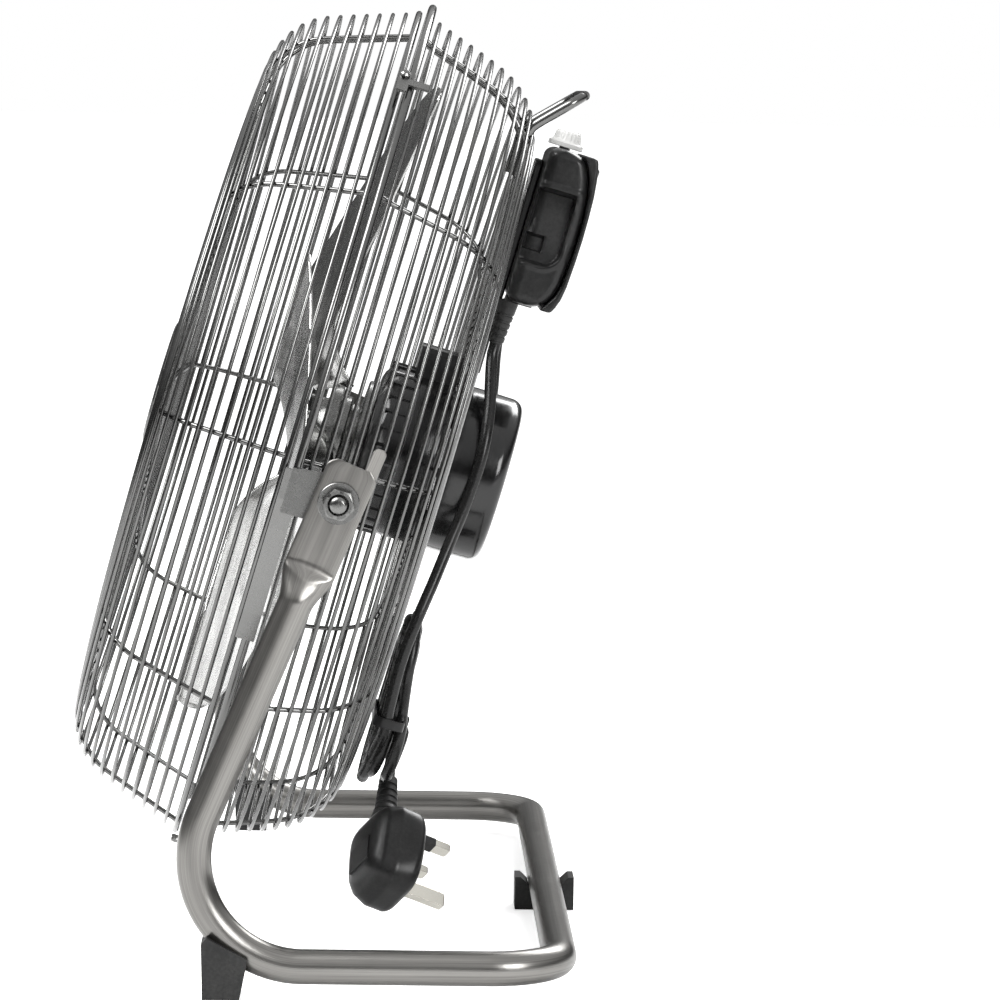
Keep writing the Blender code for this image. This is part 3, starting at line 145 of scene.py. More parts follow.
def sheets(grids, wrap_rows=False, wrap_columns=True, caps=False):
    """Points, faces and their runs for a stack of grids shaped (grid, row, column, 3).

    Point (row, column) joins its next row and next column. The runs are metres along the rows and round
    the columns, for patterns that follow the surface. Caps close the first and last rows.
    """
    grids = np.asarray(grids, float)
    if grids.ndim == 3:
        grids = grids[None]
    count, rows, columns, _ = grids.shape
    g, r, c = np.meshgrid(np.arange(count), np.arange(rows if wrap_rows else rows - 1),
                          np.arange(columns if wrap_columns else columns - 1), indexing="ij")

    def spot(row, column):
        return (g * rows + row % rows) * columns + column % columns

    quads = np.stack([spot(r, c), spot(r, c + 1), spot(r + 1, c + 1), spot(r + 1, c)], -1).reshape(-1, 4)
    first = grids[0]
    along = travelled(np.vstack([first[:, 0], first[:1, 0]]))
    middle = first[rows // 2]
    around = travelled(np.vstack([middle, middle[:1]]))
    corners = ((r, c), (r, c + 1), (r + 1, c + 1), (r + 1, c))
    runs = np.stack([np.stack([along[i], around[j]], -1) for i, j in corners], -2).reshape(-1, 4, 2)
    a, b, d, e = (first.reshape(-1, 3)[quads[: len(quads) // count, k]] for k in range(4))
    volume = (a * np.cross(b, d)).sum() + (a * np.cross(d, e)).sum()
    turned_in = (wrap_columns or wrap_rows) and volume < 0
    if turned_in:
        quads, runs = quads[:, ::-1], runs[:, ::-1]
    faces, loops = quads.tolist(), [runs.reshape(-1, 2)]
    if caps:
        starts = (np.arange(count) * rows * columns)[:, None] + np.arange(columns)
        ends = starts + (rows - 1) * columns
        low, high = (starts, ends[:, ::-1]) if turned_in else (starts[:, ::-1], ends)
        faces += low.tolist() + high.tolist()
        loops.append(np.zeros((2 * count * columns, 2)))
    return grids.reshape(-1, 3), faces, np.vstack(loops)


def piece(name, parts, body, finish, replaces=(), sharp=35, bevel=0.0, wall=0.0):
    """One named object from parts made by sheets(), riding on a body and standing for the CAD nodes it replaces."""
    points, faces, runs, base = [], [], [], 0
    for part_points, part_faces, part_runs in parts:
        points.append(part_points)
        faces += [[i + base for i in face] for face in part_faces]
        runs.append(part_runs)
        base += len(part_points)
    mesh = bpy.data.meshes.new(name)
    mesh.from_pydata(np.vstack(points).tolist(), [], faces)
    mesh.uv_layers.new(name="run").data.foreach_set("uv", np.vstack(runs).astype(np.float32).ravel())
    mesh.shade_smooth()
    mesh.set_sharp_from_angle(angle=math.radians(sharp))
    made = bpy.data.objects.new(name, mesh)
    bpy.context.scene.collection.objects.link(made)
    mesh.materials.append(finish)
    if wall:
        thicken = made.modifiers.new("wall", "SOLIDIFY")
        thicken.thickness, thicken.offset = wall, 0.0
    if bevel:
        soften = made.modifiers.new("soft_edges", "BEVEL")
        soften.width, soften.segments, soften.limit_method = bevel, 3, "ANGLE"
        soften.angle_limit = math.radians(38)
        soften.harden_normals = True
    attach(made, body)
    if replaces:
        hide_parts(*replaces)
    return made


def lathe(profile, origin, axis, side, steps=72, ring=False):
    """A turned surface: (radius, along) millimetre pairs swept round an axis through origin."""
    rows = np.array(profile, float) * MM
    third = np.cross(axis, side)
    turn = round_turn(steps)
    spoke = np.cos(turn)[:, None] * side + np.sin(turn)[:, None] * third
    grid = origin + rows[:, 1, None, None] * axis + rows[:, 0, None, None] * spoke
    return sheets(grid, wrap_rows=ring, caps=not ring)


def head_lathe(profile, steps=72, ring=False):
    """A surface turned round the fan's axis."""
    return lathe(profile, RIM, BACKWARDS, ACROSS, steps, ring)


def rod(path, radius, side, steps=12):
    """A round rod along a path: circles across it, their first spoke square to a fixed side direction."""
    path = np.asarray(path, float)
    ahead = unit(np.gradient(path, axis=0))
    normal = unit(np.cross(ahead, side))
    other = np.cross(ahead, normal)
    turn = round_turn(steps)
    spoke = np.cos(turn)[:, None] * normal[:, None] + np.sin(turn)[:, None] * other[:, None]
    return sheets(path[:, None] + radius * spoke, caps=True)


def hoops(stations, wire, segments=144, sides=8):
    """Wire rings round the fan's axis: small circles of the wire's radius swept round, one ring a station."""
    stations = np.array(stations, float)
    turn = round_turn(segments)[None, :, None]
    small = round_turn(sides)[None, None, :]
    radius = stations[:, 1, None, None] + wire / 2 * np.cos(small)
    along = stations[:, 0, None, None] + wire / 2 * np.sin(small) + 0 * turn
    return sheets(head(radius * np.sin(turn), along, radius * np.cos(turn)), wrap_rows=True)


def ribs(profile, wire, angles, count=46, sides=8):
    """Wires that follow the guard's side profile, one at each angle round the axis."""
    line = curved(profile, count)
    ahead = unit(np.gradient(line, axis=0))
    normal = np.stack([-ahead[:, 1], ahead[:, 0]], -1)
    small = round_turn(sides)
    along = line[:, 0, None] + wire / 2 * np.cos(small) * normal[:, :1]
    radius = line[:, 1, None] + wire / 2 * np.cos(small) * normal[:, 1:]
    shift = wire / 2 * np.sin(small)[None, None, :]
    angle = np.array(angles)[:, None, None]
    grid = head(radius[None] * np.sin(angle) + shift * np.cos(angle), along[None] + 0 * angle,
                radius[None] * np.cos(angle) - shift * np.sin(angle))
    return sheets(grid, caps=True)


def block(low, high, place, inset=0.0):
    """A plain bar between two corners in millimetres, its ends drawn in by inset, put in place by a function."""
    (x0, y0, z0), (x1, y1, z1) = low, high
    rows = []
    levels = ((z0, inset), (z0 + inset, 0), (z1 - inset, 0), (z1, inset)) if inset else ((z0, 0), (z1, 0))
    for z, draw in levels:
        near, far, left, right = y0 + draw, y1 - draw, x0 + draw, x1 - draw
        rows.append([(left, near, z), (right, near, z), (right, far, z), (left, far, z)])
    grid = np.array(rows, float)
    return sheets(place(grid[..., 0], grid[..., 1], grid[..., 2]), caps=True)


# --- Finishes ------------------------------------------------------------------------------------

def node(tree, kind, inputs=None, **settings):
    """A shader node with its settings and its unlinked input values."""
    made = tree.nodes.new(kind)
    for key, value in settings.items():
        setattr(made, key, value)
    for key, value in (inputs or {}).items():
        if isinstance(value, bpy.types.NodeSocket):
            tree.links.new(value, made.inputs[key])
        else:
            made.inputs[key].default_value = value
    return made


def maths(tree, operation, *values):
    """The result of a maths node on numbers or sockets."""
    return node(tree, "ShaderNodeMath", dict(enumerate(values)), operation=operation).outputs[0]


def effect_group(name, inputs, outputs):
    """An empty shader node group with named number or colour inputs and outputs."""
    group = bpy.data.node_groups.new(name, "ShaderNodeTree")
    for label, kind, default in inputs:
        group.interface.new_socket(label, in_out="INPUT", socket_type=kind).default_value = default
    for label, kind in outputs:
        group.interface.new_socket(label, in_out="OUTPUT", socket_type=kind)
    return group, group.nodes.new("NodeGroupInput"), group.nodes.new("NodeGroupOutput")


def surface_wear():
    """Cloudy handling marks and dust: broad noise shifts the colour and roughness, fine noise breaks it up."""
    group, given, out = effect_group("surface_wear", [
        ("Colour", "NodeSocketColor", (0.5, 0.5, 0.5, 1)), ("Dust Colour", "NodeSocketColor", (0.6, 0.6, 0.58, 1)),
        ("Dust", "NodeSocketFloat", 0.1), ("Scale", "NodeSocketFloat", 30.0), ("Roughness", "NodeSocketFloat", 0.4),
        ("Roughness Spread", "NodeSocketFloat", 0.1)],
        [("Colour", "NodeSocketColor"), ("Roughness", "NodeSocketFloat")])
    place = node(group, "ShaderNodeTexCoord").outputs["Object"]
    broad = node(group, "ShaderNodeTexNoise",
                 {"Vector": place, "Scale": given.outputs["Scale"], "Detail": 5.0, "Roughness": 0.62})
    finer = maths(group, "MULTIPLY", given.outputs["Scale"], 14.0)
    fine = node(group, "ShaderNodeTexNoise", {"Vector": place, "Scale": finer, "Detail": 3.0, "Roughness": 0.7})
    both = maths(group, "MULTIPLY", broad.outputs["Fac"], fine.outputs["Fac"])
    mask = node(group, "ShaderNodeMapRange", {"Value": both, "From Min": 0.17, "From Max": 0.42}).outputs[0]
    amount = maths(group, "MULTIPLY", mask, given.outputs["Dust"])
    mix = node(group, "ShaderNodeMix", {0: amount, 6: given.outputs["Colour"], 7: given.outputs["Dust Colour"]},
               data_type="RGBA")
    centred = maths(group, "SUBTRACT", mask, 0.5)
    rough = maths(group, "MULTIPLY_ADD", centred, given.outputs["Roughness Spread"], given.outputs["Roughness"])
    group.links.new(mix.outputs[2], out.inputs["Colour"])
    group.links.new(rough, out.inputs["Roughness"])
    return group


def drawn_grain():
    """Polishing lines along a part: noise on its own runs, long one way and fine the other."""
    group, given, out = effect_group("drawn_grain", [
        ("Along", "NodeSocketFloat", 12.0), ("Round", "NodeSocketFloat", 900.0)],
        [("Height", "NodeSocketFloat"), ("Mask", "NodeSocketFloat")])
    runs = node(group, "ShaderNodeUVMap", uv_map="run")
    split = node(group, "ShaderNodeSeparateXYZ", {0: runs.outputs[0]})
    far = maths(group, "MULTIPLY", split.outputs[0], given.outputs["Along"])
    near = maths(group, "MULTIPLY", split.outputs[1], given.outputs["Round"])
    joined = node(group, "ShaderNodeCombineXYZ", {0: far, 1: near})
    noise = node(group, "ShaderNodeTexNoise",
                 {"Vector": joined.outputs[0], "Scale": 1.0, "Detail": 4.0, "Roughness": 0.65})
    group.links.new(noise.outputs["Fac"], out.inputs["Height"])
    mask = node(group, "ShaderNodeMapRange", {"Value": noise.outputs["Fac"], "From Min": 0.32, "From Max": 0.68})
    group.links.new(mask.outputs[0], out.inputs["Mask"])
    return group


def moulded_grain():
    """The fine pimples of moulded or powdery surfaces: small smooth cells plus finer noise."""
    group, given, out = effect_group("moulded_grain", [("Scale", "NodeSocketFloat", 900.0)],
                                     [("Height", "NodeSocketFloat")])
    place = node(group, "ShaderNodeTexCoord").outputs["Object"]
    cells = node(group, "ShaderNodeTexVoronoi", {"Vector": place, "Scale": given.outputs["Scale"]}, feature="SMOOTH_F1")
    noise = node(group, "ShaderNodeTexNoise", {"Vector": place, "Scale": given.outputs["Scale"], "Detail": 2.0})
    total = maths(group, "ADD", cells.outputs["Distance"], noise.outputs["Fac"])
    group.links.new(total, out.inputs["Height"])
    return group


GROUPS = {}
FINISHES = {}
DUST_COLOUR = (0.55, 0.55, 0.53, 1)


def group_node(tree, maker, inputs):
    """A shared effect placed in a material with its own values."""
    if maker.__name__ not in GROUPS:
        GROUPS[maker.__name__] = maker()
    return node(tree, "ShaderNodeGroup", inputs, node_tree=GROUPS[maker.__name__])


def finish(name, colour, rough, metallic, spread=0.1, dust=0.06, scale=30.0, grain=None, pimples=None,
           coat=0.0, bump=0.00002):
    """A Principled finish with wear in its colour and roughness, and drawn lines or moulded grain in its normal."""
    if name in FINISHES:
        return FINISHES[name]
    made = bpy.data.materials.new(name)
    made.use_nodes = True
    tree = made.node_tree
    shader = tree.nodes["Principled BSDF"]
    shader.inputs["Metallic"].default_value = metallic
    shader.inputs["Specular IOR Level"].default_value = 0.5 if metallic else 0.3
    shader.inputs["Coat Weight"].default_value = coat
    shader.inputs["Coat Roughness"].default_value = 0.12
    wear = group_node(tree, surface_wear, {"Colour": (*colour, 1), "Dust Colour": DUST_COLOUR, "Dust": dust,
                                           "Scale": scale, "Roughness": rough, "Roughness Spread": spread})
    base, roughness, height = wear.outputs["Colour"], wear.outputs["Roughness"], None
    if grain:
        lines = group_node(tree, drawn_grain, {"Along": grain[0], "Round": grain[1]})
        shade = node(tree, "ShaderNodeMapRange",
                     {"Value": lines.outputs["Mask"], "To Min": 1 - grain[2], "To Max": 1 + grain[2] / 2})
        tinted = node(tree, "ShaderNodeVectorMath", {0: base, 1: shade.outputs[0]}, operation="MULTIPLY")
        base = tinted.outputs[0]
        height = lines.outputs["Height"]
    if pimples:
        height = group_node(tree, moulded_grain, {"Scale": pimples}).outputs["Height"]
    if height is not None:
        bumped = node(tree, "ShaderNodeBump", {"Height": height, "Distance": bump, "Strength": 0.6})
        tree.links.new(bumped.outputs[0], shader.inputs["Normal"])
    tree.links.new(base, shader.inputs["Base Color"])
    tree.links.new(roughness, shader.inputs["Roughness"])
    FINISHES[name] = made
    return made


def brushed_tube():
    return finish("brushed_tube", bpy.context.scene.fan_finishes.tube, 0.3, 1.0, 0.05, 0.0, 9, grain=(7, 1300, 0.3),
                  bump=0.000008)


def bright_wire():
    return finish("bright_wire", bpy.context.scene.fan_finishes.wire, 0.2, 1.0, 0.06, 0.02, 55)


def plated():
    return finish("zinc_plate", (0.16, 0.16, 0.157), 0.3, 1.0, 0.16, 0.06, 90, pimples=2600, bump=0.000008)


def polished_blade():
    return finish("polished_blade", bpy.context.scene.fan_finishes.blade, 0.2, 1.0, 0.1, 0.03, 22,
                  grain=(24, 110, 0.4), bump=0.00002)


def enamel():
    return finish("black_enamel", (0.004, 0.004, 0.0042), 0.2, 0.0, 0.1, 0.012, 34, coat=0.35, pimples=420,
                  bump=0.00002)


def plastic():
    return finish("black_plastic", (0.005, 0.005, 0.0052), 0.34, 0.0, 0.12, 0.014, 40, pimples=1500, bump=0.00003)


def rubber():
    return finish("black_rubber", (0.008, 0.008, 0.008), 0.5, 0.0, 0.14, 0.03, 48, pimples=1100, bump=0.00004)


def cord_skin():
    return finish("cord_skin", (0.005, 0.005, 0.005), 0.3, 0.0, 0.12, 0.012, 60, pimples=800, bump=0.00002)


def pale():
    return finish("pale_plastic", (0.5, 0.5, 0.49), 0.32, 0.0, 0.1, 0.06, 60, pimples=1700, bump=0.00001)


def copper():
    return finish("copper_wire", (0.7, 0.33, 0.13), 0.3, 1.0, 0.1, 0.05, 90, pimples=900, bump=0.00006)


def steel_core():
    return finish("core_steel", (0.3, 0.3, 0.31), 0.42, 1.0, 0.12, 0.05, 120, pimples=1400, bump=0.00002)


def nickel():
    return finish("nickel_brass", (0.66, 0.64, 0.58), 0.22, 1.0, 0.12, 0.08, 120, pimples=2400, bump=0.000006)


# --- Settings ------------------------------------------------------------------------------------

def length(name, description, millimetres, low):
    """A length setting, its default and its least value given in millimetres."""
    return FloatProperty(name=name, description=description, default=millimetres * MM, min=low * MM, unit="LENGTH")


def colour(name, description, default):
    """A colour setting."""
    return FloatVectorProperty(name=name, description=description, default=default, subtype="COLOR", min=0, max=1)


def power(name, description, watts):
    """A lamp's power setting."""
    return FloatProperty(name=name, description=description, default=watts, min=0, unit="POWER")


class FAN_PG_sizes(bpy.types.PropertyGroup):
    """Sizes of the wires and the cord."""
    ring_wire: length("Ring wire", "Thickness of the guards' hoops", 1.9, 0.5)
    rib_wire: length("Rib wire", "Thickness of the wires that carry the hoops", 2.5, 0.5)
    ring_pitch: length("Hoop spacing", "From one hoop to the next along the guard", 6.4, 3)
    rib_count: IntProperty(name="Ribs", description="Ribs on each guard", default=10, min=3)
    cord: length("Cord", "Diameter of the mains cord", 6, 2)


class FAN_PG_finishes(bpy.types.PropertyGroup):
    """Colours of the bright metal parts."""
    tube: colour("Stand tube", "Colour of the brushed stand", (0.21, 0.205, 0.195))
    wire: colour("Guard wire", "Colour of the plated guards", (0.13, 0.13, 0.128))
    blade: colour("Blades", "Colour of the polished blades", (0.58, 0.58, 0.57))
    floor: colour("Floor", "Colour of the studio floor", (0.9, 0.9, 0.9))


class FAN_PG_light(bpy.types.PropertyGroup):
    """Brightness of the studio."""
    key: power("Key light", "Power of the large overhead light", 70)
    fill: power("Fill light", "Power of the side light", 30)


# --- Stage ---------------------------------------------------------------------------------------

class FAN_OT_stage(bpy.types.Operator):
    """Makes the camera, the floor, the sky and the soft lights"""
    bl_idname = "fan.stage"
    bl_label = "Studio"

    def execute(self, context):
        self.make_camera(context.scene)
        self.make_floor(context.scene)
        self.make_lights(context.scene)
        return {"FINISHED"}

    def make_camera(self, scene):
        """Looks along -X and a little down, rolled slightly."""
        camera = bpy.data.objects.new("camera", bpy.data.cameras.new("camera"))
        scene.collection.objects.link(camera)
        pitch, yaw, roll = 0.0928829, 0.0281537, 0.0176033
        ahead = Vector((-math.cos(pitch) * math.cos(yaw), math.cos(pitch) * math.sin(yaw), -math.sin(pitch)))
        right = ahead.cross(Vector((0, 0, 1))).normalized()
        up = right.cross(ahead)
        across = math.cos(roll) * right + math.sin(roll) * up
        upright = math.cos(roll) * up - math.sin(roll) * right
        turn = Matrix((across, upright, -ahead)).transposed().to_4x4()
        camera.matrix_world = Matrix.Translation((2.188584, 0.020618, 0.410060)) @ turn
        camera.data.lens, camera.data.sensor_width = 157.85, 36
        camera.data.clip_start, camera.data.clip_end = 0.05, 200
        scene.camera = camera

    def make_floor(self, scene):
        """A wide disc: polar grid of a few rings."""
        radius = np.array([0.02, 1, 4, 15, 60])[:, None]
        turn = round_turn(48)[None, :]
        grid = np.stack([radius * np.cos(turn), radius * np.sin(turn), -0.0002 + 0 * radius * turn], -1)
        points, faces, _ = sheets(grid)
        mesh = bpy.data.meshes.new("floor")
        mesh.from_pydata(points.tolist(), [], faces + [list(range(48))])
        floor = bpy.data.objects.new("floor", mesh)
        scene.collection.objects.link(floor)
        made = bpy.data.materials.new("studio_floor")
        made.use_nodes = True
        shader = made.node_tree.nodes["Principled BSDF"]
        shader.inputs["Base Color"].default_value = (*scene.fan_finishes.floor, 1)
        shader.inputs["Roughness"].default_value = 0.9
        shader.inputs["Specular IOR Level"].default_value = 0.0
        path = node(made.node_tree, "ShaderNodeLightPath")
        glow = maths(made.node_tree, "MULTIPLY", path.outputs["Is Camera Ray"], 0.55)
        shader.inputs["Emission Color"].default_value = (1, 1, 1, 1)
        made.node_tree.links.new(glow, shader.inputs["Emission Strength"])
        mesh.materials.append(made)

    def make_lights(self, scene):
        """A bright plain sky for the view, a banded one for reflections, and soft area lights."""
        world = bpy.data.worlds.new("studio")
        world.use_nodes = True
        scene.world = world
        scene.view_settings.view_transform, scene.view_settings.look = "Standard", "None"
        tree = world.node_tree
        seen = node(tree, "ShaderNodeBackground", {"Color": (1, 1, 1, 1), "Strength": 1.0})
        way = node(tree, "ShaderNodeTexCoord")
        height = node(tree, "ShaderNodeSeparateXYZ", {0: way.outputs["Generated"]})
        spread = node(tree, "ShaderNodeMapRange", {"Value": height.outputs[2], "From Min": -1.0, "From Max": 1.0})
        ramp = node(tree, "ShaderNodeValToRGB", {"Fac": spread.outputs[0]})
        ramp.color_ramp.elements[0].position, ramp.color_ramp.elements[0].color = 0.0, (0.35, 0.35, 0.35, 1)
        ramp.color_ramp.elements[1].position, ramp.color_ramp.elements[1].color = 1.0, (1.1, 1.1, 1.1, 1)
        for position, value in ((0.42, 0.12), (0.5, 0.05), (0.6, 0.1), (0.68, 0.6), (0.8, 0.9)):
            ramp.color_ramp.elements.new(position).color = (value, value, value, 1)
        mirrored = node(tree, "ShaderNodeBackground", {"Color": ramp.outputs[0], "Strength": 1.0})
        path = node(tree, "ShaderNodeLightPath")
        mix = node(tree, "ShaderNodeMixShader",
                   {0: path.outputs["Is Camera Ray"], 1: mirrored.outputs[0], 2: seen.outputs[0]})
        output = tree.nodes.get("World Output") or tree.nodes.new("ShaderNodeOutputWorld")
        tree.links.new(mix.outputs[0], output.inputs[0])
        settings = scene.fan_light
        for name, place, size, watts in (("key", (0.6, -1.1, 1.9), 1.3, settings.key),
                                         ("fill", (1.9, 1.3, 0.9), 0.9, settings.fill),
                                         ("back", (-1.4, 0.9, 1.5), 1.0, settings.fill * 0.9)):
            lamp = bpy.data.objects.new(name, bpy.data.lights.new(name, "AREA"))
            scene.collection.objects.link(lamp)
            lamp.data.energy, lamp.data.size = watts, size
            lamp.location = place
            lamp.rotation_euler = (Vector((0, 0, 0.22)) - Vector(place)).to_track_quat("-Z", "Y").to_euler()


# --- Cord ----------------------------------------------------------------------------------------

CORD_ROUTE = (  # (x, along, up) in millimetres, from the relief to the hank's side
    (19.2, 79.2, 67.2), (19.2, 79.2, 63.2), (20.8, 79.9, 58.4), (24.2, 81.1, 52.8), (29.6, 82.7, 46),
    (35.6, 84.6, 38.4), (41.2, 86.2, 29.6), (45.2, 87.4, 20), (47, 87.9, 8.8), (47.8, 87.5, -3.2),
    (49, 86.6, -15.2), (51.4, 85.2, -27.2), (55.2, 83.8, -39.2), (60, 82.4, -51.2), (64.2, 80.8, -62.6),
    (66.6, 79.4, -74), (66.9, 78.4, -86), (66.9, 78.2, -98), (66.9, 78.8, -110), (66.6, 79.4, -120),
)
TAIL_ROUTE = (  # from the hank up its back and down to the plug
    (55, 86.5, -118), (57.5, 88.3, -127), (56.5, 88.6, -139), (50, 88.4, -149.5), (44, 88.4, -152),
    (40.6, 89.8, -143), (35, 90.8, -134.5), (28, 91, -130.8), (21.4, 90.6, -131.6),
    (16.6, 90, -135.8), (14.8, 89.6, -141.8), (16.2, 89.8, -147.6), (19.7, 90.35, -152.2), (23.2, 91, -155.5),
)
LEAD_ROUTE = (  # from the box down to the motor's cover
    (6.4, 79.3, 89.2), (6.5, 79.6, 80), (6.8, 80.4, 70), (7.4, 82, 60), (8, 84, 51), (8.4, 85.4, 44.5),
    (8.5, 85.8, 41.9),
)
HANK = {"top": -67.6, "foot": -160.4, "low": 9.4, "high": 63.4, "front": 74.6, "turns": 3}


def hank_route(cord):
    """The cord's folds: an oval wound inwards on the front layer and outwards again on the rear one.

    The oval is two half circles joined by straight runs. Its half width shrinks by a diameter a turn.
    """
    middle = (HANK["low"] + HANK["high"]) / 2
    outer = (HANK["high"] - HANK["low"]) / 2 - cord / 2
    turns = HANK["turns"]
    t = np.arange(0, 2 * turns, 1 / 28)[1:]
    layer = ease(t, turns - 0.12, turns + 0.12)
    depth = np.abs(t - turns)
    half = outer - (turns - depth) * cord * 0.96
    half = np.clip(half, outer - (turns - 0.7) * cord, outer)
    phase = (t % 1) * math.tau
    straight = (HANK["top"] - HANK["foot"]) / 2 - cord / 2 - outer
    x = middle + half * np.cos(phase)
    steep = 2.6  # how sharply the straight runs change into the half circles
    run = straight * np.tanh(steep * np.sin(phase)) / math.tanh(steep)
    up = (HANK["top"] + HANK["foot"]) / 2 - half * np.sin(phase) - run
    spread = 1 - 0.75 * np.clip(np.abs(up + 114) / 46, 0, 1) ** 3
    along = HANK["front"] + cord / 2 + 0.4 + layer * 5.6 * spread + 0.5 * np.sin(7.3 * t + x / 9)
    return np.stack([x, along, up], -1)


class FAN_OT_cord(bpy.types.Operator):
    """Runs the mains cord from its relief into the tied hank and on to the plug"""
    bl_idname = "fan.cord"
    bl_label = "Mains cord"

    def execute(self, context):
        size = context.scene.fan_sizes.cord
        folds = hank_route(size / MM)
        route = np.vstack([np.array(CORD_ROUTE), [(64.5, 80.2, -129)], folds[6:], np.array(TAIL_ROUTE)])
        line = head_route(route)
        length = float(travelled(curved(line, 1200))[-1])
        points = curved(line, int(length / (0.9 * size)))
        curve = bpy.data.curves.new("mains_cord", "CURVE")
        curve.dimensions, curve.bevel_depth, curve.bevel_resolution, curve.use_fill_caps = "3D", size / 2, 4, True
        spline = curve.splines.new("POLY")
        spline.points.add(len(points) - 1)
        spline.points.foreach_set("co", np.hstack([points, np.ones((len(points), 1))]).ravel())
        spline.use_smooth = True
        cord = bpy.data.objects.new("mains_cord", curve)
        context.scene.collection.objects.link(cord)
        curve.materials.append(cord_skin())
        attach(cord, "head")
        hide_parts("cord_run", "cord_hank", "cord_tail")
        extras = [self.relief(size), self.tie(), *make_plug()]
        self.lead()
        return {"FINISHED"}

    def relief(self, size):
        """A tapered sleeve with shallow rings, round the cord under the box."""
        x, along, up = CORD_ROUTE[0]
        level = np.linspace(0, 22, 90)
        radius = size / MM / 2 + 0.7 + 1.7 * level / 22 - 0.45 * ((level % 3.6) < 1.1) * (level < 18)
        profile = np.stack([radius, level], -1)
        sleeve = lathe(profile, head(x, along, up), UPWARDS, ACROSS, 32)
        return piece("cord_sleeve", [sleeve], "head", rubber(), replaces=["cord_relief"])

    def tie(self):
        """A flat band round the hank and the cord beside it, with its head at the back."""
        low, high = np.array((HANK["low"] - 1.2, HANK["front"] - 0.6)), np.array((HANK["high"] + 6.6, 88.2))
        turn = round_turn(72)
        corner = 5.0
        half, middle = (high - low) / 2 - corner, (high + low) / 2
        x, y = (middle[k] + np.sign(wave) * half[k] * np.minimum(1, np.abs(wave) * 6) + corner * wave
                for k, wave in enumerate((np.cos(turn), np.sin(turn))))
        grid = []
        for grow, up in ((0, -121.2), (0.9, -121.2), (0.9, -125.8), (0, -125.8)):
            wide, deep = 1 + grow / 30, 1 + grow / 8
            grid.append(head(middle[0] + (x - middle[0]) * wide, middle[1] + (y - middle[1]) * deep, up))
        band = sheets(np.array(grid).transpose(1, 0, 2), wrap_rows=True)
        clasp = block((44, 87.6, -127), (51, 91.2, -120.4), head, 0.5)
        return piece("hank_tie", [band, clasp], "head", plastic(), replaces=["cord_tie"])

    def lead(self):
        """The short lead from the box down to the motor cover."""
        line = curved(head_route(LEAD_ROUTE), 40)
        piece("box_lead", [rod(line, 2.4 * MM, ACROSS, 16)], "head", cord_skin(), replaces=["motor_lead"])


# --- Plug ----------------------------------------------------------------------------------------

PLUG_SPOT = head(48, 108.4, -184.3)
PINS = (  # name, across, up, width, height, length out of the face, length of its sleeve
    ("earth", 0, -22.2, 4, 7.9, 22.7, 0),
    ("line", 11.1, 0, 6.3, 4, 17.7, 9),
    ("neutral", -11.1, 0, 6.3, 4, 17.7, 9),
)


def plug_axes():
    """World directions across the plug, along its pins and up towards its cord."""
    def turn(v):
        return v[0] * ACROSS + v[1] * BACKWARDS + v[2] * UPWARDS
    across = unit(turn((0.6286, 0.2927, 0.7206)))
    pins = unit(turn((-0.2946, 0.9471, -0.1277)))
    return across, pins, np.cross(across, pins)


def plug_place(x, y, z):
    """World points from plug coordinates in millimetres."""
    across, pins, up = plug_axes()
    x, y, z = np.broadcast_arrays(x, y, z)
    return PLUG_SPOT + MM * (x[..., None] * across + y[..., None] * pins + z[..., None] * up)


